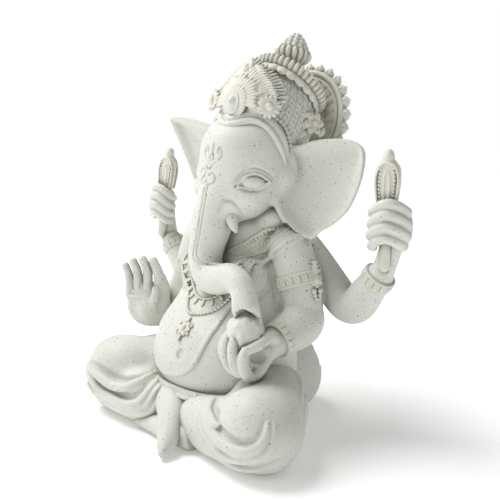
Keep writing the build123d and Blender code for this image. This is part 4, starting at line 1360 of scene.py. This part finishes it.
for at in closed_spots(collar_row(0.2, 0.35), 1.85)[0]:
    collar.add(bead(at, 0.85), soft=0.1)
spots, ways = closed_spots(collar_row(0.70, 0.35), 3.5)
normals = bust.normal(spots)
for at, normal, way in zip(spots, normals, ways):
    link(collar, lying(at, normal, way), 3.2)
cast(collar, "jewelled_collar", "collar", finish=TRIM)

# ------------------------------------------------------------------ bead strings and drop
STRING = [(-20, -18, 78), (-17, -22.5, 71.5), (-12.9, -27, 65), (-8.8, -31, 60.4), (-5.4, -34.5, 57),
          (-1, -36.4, 55.2), (4.6, -35.6, 55.6), (9.4, -33.6, 57.2), (12.6, -31, 59.6), (15.6, -27, 64),
          (18.6, -21, 71), (20, -17.6, 77)]
INNER_STRING = [(-16, -20, 77), (-12.6, -23.5, 71), (-9.2, -27.6, 66), (-4.6, -30.4, 62.6),
                (0.6, -31.2, 61.2),
                (6.4, -30.0, 62), (10.6, -27.4, 65.2), (13.8, -23, 70), (16, -19.6, 76)]
bare_surface = Clay((-34, -50, 40), (34, -10, 84), 0.5)
for shape in torso_shapes:
    bare_surface.add(shape, soft=5.0)
bare_surface.sink(-0.75)
strings = Clay((-25, -45, 50), (25, -12, 82), JEWEL_STEP)
for rows, size, spacing in ((STRING, 0.85, 1.75), (INNER_STRING, 0.75, 1.55)):
    path = bare_surface.snap(flowing(rows, 8), size * 0.45)
    strings.add(Tube(with_radius(path, 0.42), per=1))
    for at in along_curve(path, spacing)[0]:
        strings.add(bead(at, size), soft=0.12)
# a chain of leaves hangs between the two strings
spots, ways = along_curve(bare_surface.snap(flowing(INNER_STRING, 8), 0.3), 4.1)
normals = bare_surface.normal(spots)
for at, normal, way in zip(spots[1:-1], normals[1:-1], ways[1:-1]):
    place = lying(at, normal, way)
    down = -1.0 if place.turn[2, 1] > 0 else 1.0
    strings.add(Egg((0, down * 2.2, 0.1), (1.0, 1.7, 0.7), place=place), soft=0.2)
cast(strings, "bead_strings", "bead_string", finish=TRIM)

drop_at = bare_surface.snap([(1.0, -41.5, 49.4)], 0.2)[0]
drop_place = lying(drop_at, bare_surface.normal([drop_at])[0], np.array([1.0, 0, 0]))
drop = Clay(drop_at - 8, drop_at + 8, 0.24)
blossom(drop, drop_place, 6, 3.6, 1.35, 0.85, 1.35)
for spoke in spokes(6, drop_place, start=30.0):
    drop.add(Egg((3.9, 0, 0.1), (0.8, 0.8, 0.7), place=spoke), soft=0.2)
drop.add(Egg((0, 4.9, 0.1), (0.8, 0.9, 0.7), place=drop_place), soft=0.2)
drop.add(Egg((0, -5.0, 0.1), (0.8, 1.2, 0.7), place=drop_place), soft=0.2)
cast(drop, "flower_drop", "pendant", finish=TRIM)


# ------------------------------------------------------------------ armlets and bracelets
def cuff(name, node, centre, axis, radius, width, ornament=None):
    """A band round a limb: two rails with a row of small links between them."""
    axis = np.array(axis, float) / np.linalg.norm(axis)
    place = lying(np.array(centre, float), axis, np.array([0.3, -1.0, 0.1]))
    clay = Clay.around([Egg((0, 0, 0), (radius + 3, radius + 3, width), place=place)]
                       + ([Egg(ornament[0], (9, 9, 9))] if ornament else []), JEWEL_STEP, room=0.5)
    for height in np.linspace(-0.36, 0.36, 5) * width:
        clay.add(Tube(with_radius(circle(radius - 0.9, height, count=44), 1.2), per=1, closed=True,
                      place=place),
                 soft=0.4)
    for height in (-0.5 * width, 0.5 * width):
        clay.add(Tube(with_radius(circle(radius + 0.1, height, count=44), 0.62), per=1, closed=True,
                      place=place),
                 soft=0.15)
    for spoke in spokes(int(2 * math.pi * radius / (0.72 * width)), place):
        facing = Place((radius + 0.35, 0, 0), turning(y=90), parent=spoke)
        link(clay, facing, 0.54 * width)
    if ornament:
        at, out = ornament
        spray = lying(np.array(at, float), np.array(out, float), np.array([0.0, 0.0, 1.0]))
        blossom(clay, spray, 6, 3.2, 1.25, 0.9, 1.3)
        for k, (reach, size) in enumerate(((4.4, 1.35), (6.3, 1.1), (7.9, 0.8))):
            for hand in (-1, 1):
                clay.add(Egg((-reach, hand * (1.5 - 0.35 * k), 0), (size, size, size * 0.8),
                             place=spray), soft=0.2)
            clay.add(Egg((reach, 0, 0), (size * 1.3, 1.7 - 0.4 * k, 0.8), place=spray), soft=0.25)
            for hand in (-1, 1):
                clay.add(Tube([(reach - 1.2, 0, 0.2, 0.4),
                               (reach + 0.3, hand * (2.4 - 0.5 * k), 0, 0.5)], per=1,
                              place=spray), soft=0.2)
    cast(clay, name, node, finish=TRIM)


for side, name in ((1, "left"), (-1, "right")):
    cuff(f"armlet_band_{name}", f"armlet_{name}", (side * 33.6, -3.1, 70.4),
         (side * 0.34, 0.03, -0.94), 9.45, 4.4,
         ornament=((side * 43.4, -3.0, 71.4), (side * 0.92, -0.35, 0.25)))
    elbow_end = np.array(ELBOWS[side][-3][:3], float)
    wrist = np.array(ELBOWS[side][-1][:3], float)
    cuff(f"wrist_band_{name}", f"front_bracelet_{name}", wrist + (elbow_end - wrist) * 0.16,
         elbow_end - wrist,
         7.1, 3.8)
    cuff(f"rear_wrist_band_{name}", f"rear_bracelet_{name}", (side * 66.2, 9.7, 74.0),
         (side * 0.6, -0.06, 0.8),
         6.5, 4.0)

# ------------------------------------------------------------------ hands
HAND_STEP = 0.33
SWEET = Place(centre_of("laddoo"))
sweet = Clay.around([Egg((0, 0, 0), (8, 8, 8), place=SWEET)], HAND_STEP)
sweet.add(Egg((0, 0, 0), (7.9, 7.9, 7.8), place=SWEET))
for _ in range(70):
    way = RNG.normal(size=3)
    way /= np.linalg.norm(way)
    at = SWEET.origin + way * 7.7
    size = RNG.uniform(0.6, 1.1)
    sweet.add(Egg(at, (size, size, size * 0.8)), soft=1.4)
sweet.polish(2)
cast(sweet, "sweet_ball", "laddoo")

hand = Clay((20, -49, 29), (48, -17, 57), HAND_STEP)
grip = Place(SWEET.origin)
hand.add(Egg((0.5, 1.0, -9.5), (7.6, 7.6, 5.2), turning(z=30), place=grip))
hand.add(Tube([(4.4, 13.5, -5.6, 6.2), (4.4, 8.5, -7.5, 5.4), (3.0, 3, -10.5, 5.0)], place=grip), soft=2.5)
for rows in (
    [(-1.5, 0.5, -12.6, 3.0), (-5.0, -2.6, -14.2, 2.6), (-7.6, -4.4, -11.2, 2.5), (-8.6, -4.6, -6.6, 2.4),
     (-7.8, -3.6, -2.6, 1.9)],
    [(1.0, -1.5, -13.2, 3.0), (-1.8, -4.6, -15.2, 2.7), (-3.9, -6.6, -11.6, 2.6), (-4.8, -6.9, -6.2, 2.5),
     (-4.2, -5.8, -1.6, 2.0)],
    [(3.0, -3.0, -13.4, 3.0), (2.0, -5.6, -15.0, 2.7), (1.2, -7.6, -11.0, 2.6), (0.6, -7.9, -5.6, 2.5),
     (0.2, -6.8, -1.4, 2.0)],
):
    hand.add(Tube(rows, place=grip), soft=0.35)
# forefinger and thumb close a ring in front of the palm
hand.add(Tube([(6.8, 8.6, -6.5, 3.0), (7.0, 5.0, -10.5, 2.7), (6.8, 1.6, -14.6, 2.6), (6.3, -2.0, -17.0, 2.6),
               (5.7, -4.9, -15.6, 2.5), (5.6, -6.8, -11.8, 2.4), (5.7, -7.2, -8.0, 2.3), (6.1,
               -6.4, -5.2, 1.9)],
              place=grip), soft=0.5)
hand.add(Tube([(6.8, 9.6, -3.2, 3.0), (8.2, 5.0, -1.4, 2.5), (8.9, 1.4, -2.2, 2.3), (8.4, -2.2, -3.6, 2.2),
               (6.9, -5.4, -4.8, 1.9)], place=grip), soft=0.5)
hand.carve(Egg((7.6, -0.4, -8.6), (3.9, 3.9, 3.4), turning(z=40), place=grip), soft=0.7)
hand.carve(Egg((0, 0, 0), (7.85, 7.85, 7.75), place=grip), soft=0.2)
hand.polish(1)
cast(hand, "cupped_hand", "hand_left")

PALM = Place((-47, -25, 53), turning(z=37))
palm = Clay((-66, -44, 32), (-28, -10, 82), HAND_STEP)
palm.add(Egg((0.0, 0.4, -3.5), (10.2, 4.4, 11.5), place=PALM))
palm.add(Egg((4.4, 1.2, -7.0), (8.6, 4.6, 7.6), turning(y=-20), place=PALM), soft=2.5)
palm.add(Tube([(8.5, 8.5, -11, 5.8), (7.0, 4.5, -9.5, 5.6), (4.0, 1.6, -7, 5.0)], place=PALM), soft=3.0)
for rows in (
    [(-8.7, 0.4, 1, 2.3), (-8.5, -0.4, 6, 2.2), (-9.0, -0.6, 11.5, 2.1), (-9.9, -2.2, 15.8, 1.9)],
    [(-3.9, 0.0, 2, 2.4), (-3.9, -0.8, 7, 2.3), (-4.3, -1.0, 13, 2.25), (-5.6, -3.0, 18.2, 2.0)],
    [(1.3, 0.0, 2, 2.5), (1.2, -0.8, 7, 2.4), (0.8, -1.0, 13.5, 2.35), (-0.7, -3.2, 19.4, 2.1)],
    [(6.7, 0.4, 1, 2.7), (6.8, -0.6, 6.5, 2.7), (6.4, -0.7, 12.5, 2.6), (4.5, -2.6, 18.8, 2.2)],
):
    palm.add(Tube(rows, place=PALM), soft=0.2)
palm.add(Tube([(8.6, 0.8, -2, 3.4), (8.9, 1.0, 4.5, 2.9), (8.0, 0.8, 9.5, 2.2)], place=PALM), soft=1.5)
palm.add(Egg((1.6, -3.0, -5.6), (5.0, 3.4, 5.6), place=PALM), soft=2.0)
palm.add(Tube([(3.2, -3.0, -5.0, 3.0), (5.2, -4.0, -0.6, 2.3), (5.9, -4.3, 3.4, 1.8), (5.6, -4.4, 5.0, 1.4)],
              place=PALM), soft=0.8)
for rows in ([(-9.8, -4.0, 2.4), (-5, -4.4, 2.2), (-0.6, -4.2, 2.6)], [(-10.0, -3.6, -0.5), (-6, -4.4, -0.9),
             (-1.0, -4.4, -0.2)], [(-7.4, -4.2, -2.2), (-6.8, -4.4, -4.6), (-7.6, -4.0, -7.4)]):
    palm.groove(with_radius(np.array(rows), 0.45), lift=-0.05, soft=0.2, place=PALM)
palm.polish(1)
cast(palm, "open_palm", "hand_right")

# ------------------------------------------------------------------ rear fists and their goads
for side, name in ((1, "left"), (-1, "right")):
    low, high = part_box(f"goad_{name}")
    foot_at = np.array([(low[0] + high[0]) / 2, (low[1] + high[1]) / 2, low[2]]) / MM
    grip_turn = np.eye(3) if side > 0 else turning(y=9) @ turning(z=34)
    goad_place = Place(foot_at, turning(z=22) if side > 0 else turning(y=9) @ turning(z=8))
    fist_place = Place((0, 0, 0), side=side, parent=Place(foot_at, grip_turn))
    goad = Clay.around([Tube([(0, 0, 0, 7), (0, 0, 49, 7)], per=1, place=goad_place)], 0.27, room=0.5)
    goad.add(Tube([(0, 0, 1.5, 2.4), (0, 0, 28, 2.4)], per=1, place=goad_place))
    goad.add(Pile([(26.5, 0, 3.8, 2.3), (30, 0, 4.6, 2.5), (36, 0, 5.3, 2.6), (41, 0, 5.0, 2.5),
                   (44, 0, 3.0, 2.2),
                   (45, 0, 1.6, 1.4)], place=goad_place), soft=0.5)
    goad.add(Tube([(0, 0, 44.5, 2.4), (0, 0, 45.6, 2.4)], per=1, place=goad_place), soft=0.3)
    goad.add(Egg((0, 0, 47.2), (1.9, 1.9, 1.5), place=goad_place), soft=0.3)
    for face_side in (1, -1):
        panel_place = Place((0, face_side * -2.3, 0), None if face_side > 0 else turning(z=180),
                            parent=goad_place)
        rim_rows = [(-3.5, 0.1, 27.5, 0.5), (-4.2, 0, 32, 0.5), (-4.5, 0, 37, 0.5), (-3.5, 0, 41, 0.5),
                    (-1.5, 0, 43.2, 0.5), (1.5, 0, 43.2, 0.5), (3.5, 0, 41, 0.5), (4.5, 0, 37, 0.5),
                    (4.2, 0, 32, 0.5), (3.5, 0.1, 27.5, 0.5)]
        goad.add(Tube(rim_rows, place=panel_place), soft=0.2)
        loop_rows = [(-1.0, -0.1, 27, 0.5), (-1.1, -0.1, 33, 0.5), (-1.0, -0.1, 38, 0.5),
                     (0, -0.1, 39.8, 0.5),
                     (1.0, -0.1, 38, 0.5), (1.1, -0.1, 33, 0.5), (1.0, -0.1, 27, 0.5)]
        goad.add(Tube(loop_rows, place=panel_place), soft=0.15)
        inset = np.array(rim_rows)[:, :3] * (0.68, 1, 1) + (0, 0.1, 0)
        for at in along_curve(panel_place.out(flowing(inset, 5)), 1.55)[0]:
            goad.add(bead(at, 0.62), soft=0.1)
    cast(goad, f"goad_head_{name}", f"goad_{name}", finish=TRIM)

    fist = Clay.around([Egg((0.5, 2, 14), (12.5, 14, 20), place=fist_place)], HAND_STEP, room=0.5)
    fist.add(Tube([(-4.6, 4.6, -4.0, 5.5), (-2.6, 4.8, 1.0, 5.0), (-0.6, 5.2, 8, 5.0), (1.0, 5.8, 15, 5.2),
                   (1.2, 5.6, 21.5, 4.8)], place=fist_place, flat=((0.72, 0.69, 0), 1.05)))
    fist.add(Egg((2.8, 6.4, 17.0), (5.2, 4.8, 9.2), place=fist_place), soft=2.0)
    fingers = (
        [(6.6, 4.2, 23.6, 2.4), (5.8, -1.0, 26.2, 2.3), (3.2, -4.0, 27.2, 2.25), (-0.4, -5.0, 26.0, 2.15),
         (-3.8, -4.2, 23.6, 2.1), (-4.8, -1.0, 22.0, 1.9)],
        [(7.2, 4.0, 18.8, 2.5), (6.2, -1.6, 21.6, 2.4), (3.4, -4.9, 22.9, 2.35), (-0.2, -6.0, 21.5, 2.25),
         (-3.6, -4.8, 18.9, 2.15), (-4.8, -1.6, 17.6, 1.9)],
        [(7.2, 3.6, 14.0, 2.5), (6.4, -2.1, 16.8, 2.4), (3.6, -5.5, 18.2, 2.3), (0.0, -6.4, 17.0, 2.25),
         (-3.4, -5.4, 14.5, 2.15), (-4.8, -2.0, 13.2, 1.9)],
        [(6.4, 3.0, 10.2, 2.4), (5.6, -2.1, 12.4, 2.3), (3.3, -5.1, 13.7, 2.2), (0.0, -6.1, 12.5, 2.1),
         (-3.1, -5.0, 10.2, 2.0), (-4.3, -2.0, 9.2, 1.8)],
    )
    for rows in fingers:
        fist.add(Tube(rows, place=fist_place), soft=0.2)
    fist.carve(Tube([(0, 0, 0, 2.3), (0, 0, 30, 2.3)], per=1, place=goad_place), soft=0.0)
    fist.polish(1)
    cast(fist, f"closed_fist_{name}", f"fist_{name}")

# ------------------------------------------------------------------ fixings
# the hidden dowels and the pad keep their CAD shape, and take a finish of their own
FELT = fixing_material("green_felt", (0.035, 0.075, 0.045), 2600.0, 0.85, 1.0, 0.0)
STEEL = fixing_material("brushed_steel", (0.55, 0.55, 0.56), 900.0, 0.28, 0.45, 1.0)
for node, finish, slot in (("felt_pad", FELT, "felt"), ("dowel_pins", STEEL, "steel")):
    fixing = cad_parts[node]
    fixing.data.materials.clear()
    fixing.data.materials.append(finish)


# ------------------------------------------------------------------ stage
CAMERA_AT = Vector((0.2214, -0.2282, 0.1269))
AIM_AT = Vector((0.000225, 0.0006, 0.07949))
ROLL = math.radians(0.81)
LENS_MM = 48.7044              # on a 36 mm sensor

camera = bpy.data.cameras.new("camera")
camera.sensor_width = 36.0
camera.lens = LENS_MM
camera.clip_start = 0.01
camera_object = bpy.data.objects.new("camera", camera)
look = (AIM_AT - CAMERA_AT).to_track_quat("-Z", "Y").to_matrix().to_4x4()
camera_object.matrix_world = Matrix.Translation(CAMERA_AT) @ look @ Matrix.Rotation(ROLL, 4, "Z")
bpy.context.scene.collection.objects.link(camera_object)
bpy.context.scene.camera = camera_object

floor_mesh = bpy.data.meshes.new("floor")
FLOOR = 4.0
floor_mesh.from_pydata([(-FLOOR, -FLOOR, 0), (FLOOR, -FLOOR, 0), (FLOOR, FLOOR, 0), (-FLOOR, FLOOR, 0)], [],
                       [(0, 1, 2, 3)])
floor = bpy.data.objects.new("floor", floor_mesh)
floor.location.z = -0.0001
bpy.context.scene.collection.objects.link(floor)
paper, tree, paper_shader = empty_material("paper")
grain = node_of(tree, "ShaderNodeTexNoise", {"Scale": 900.0})
paper_tone = node_of(tree, "ShaderNodeMix", {
    0: grain.outputs["Fac"], 6: (0.90, 0.90, 0.90, 1), 7: (0.93, 0.93, 0.93, 1)}, data_type="RGBA")
here = node_of(tree, "ShaderNodeTexCoord")
away = node_of(tree, "ShaderNodeVectorMath", {0: here.outputs["Object"]}, operation="LENGTH")
# the paper glows more away from the idol, so that it fades to white behind it
lit = node_of(tree, "ShaderNodeMapRange", {
    "From Min": 0.07, "From Max": 0.25, "To Min": 0.25, "To Max": 0.80, "Value": away.outputs["Value"]})
wire(tree, paper_shader, {"Base Color": paper_tone.outputs[2], "Roughness": 0.8,
                          "Emission Color": (1, 1, 1, 1), "Emission Strength": lit.outputs[0]})
floor_mesh.materials.append(paper)

world = bpy.data.worlds.new("studio")
world.use_nodes = True
backdrop = world.node_tree.nodes["Background"]
view_ray = node_of(world.node_tree, "ShaderNodeLightPath")
glow = node_of(world.node_tree, "ShaderNodeMapRange", {
    "To Min": 0.27, "To Max": 1.0, "Value": view_ray.outputs["Is Camera Ray"]})
wire(world.node_tree, backdrop, {"Color": (1, 1, 1, 1), "Strength": glow.outputs[0]})
bpy.context.scene.world = world
bpy.context.scene.view_settings.view_transform = "Standard"


def soft_light(name, at, size, power):
    """A square soft box at a place, turned to the idol's middle."""
    light = bpy.data.lights.new(name, "AREA")
    light.energy = power
    light.size = size
    box = bpy.data.objects.new(name, light)
    box.location = at
    box.rotation_euler = (Vector((0, -0.01, 0.08)) - Vector(at)).to_track_quat("-Z", "Y").to_euler()
    bpy.context.scene.collection.objects.link(box)


soft_light("key", (-0.36, -0.20, 0.78), 0.50, 6.6)
soft_light("fill", (-0.3, -0.9, 0.40), 0.5, 1.2)
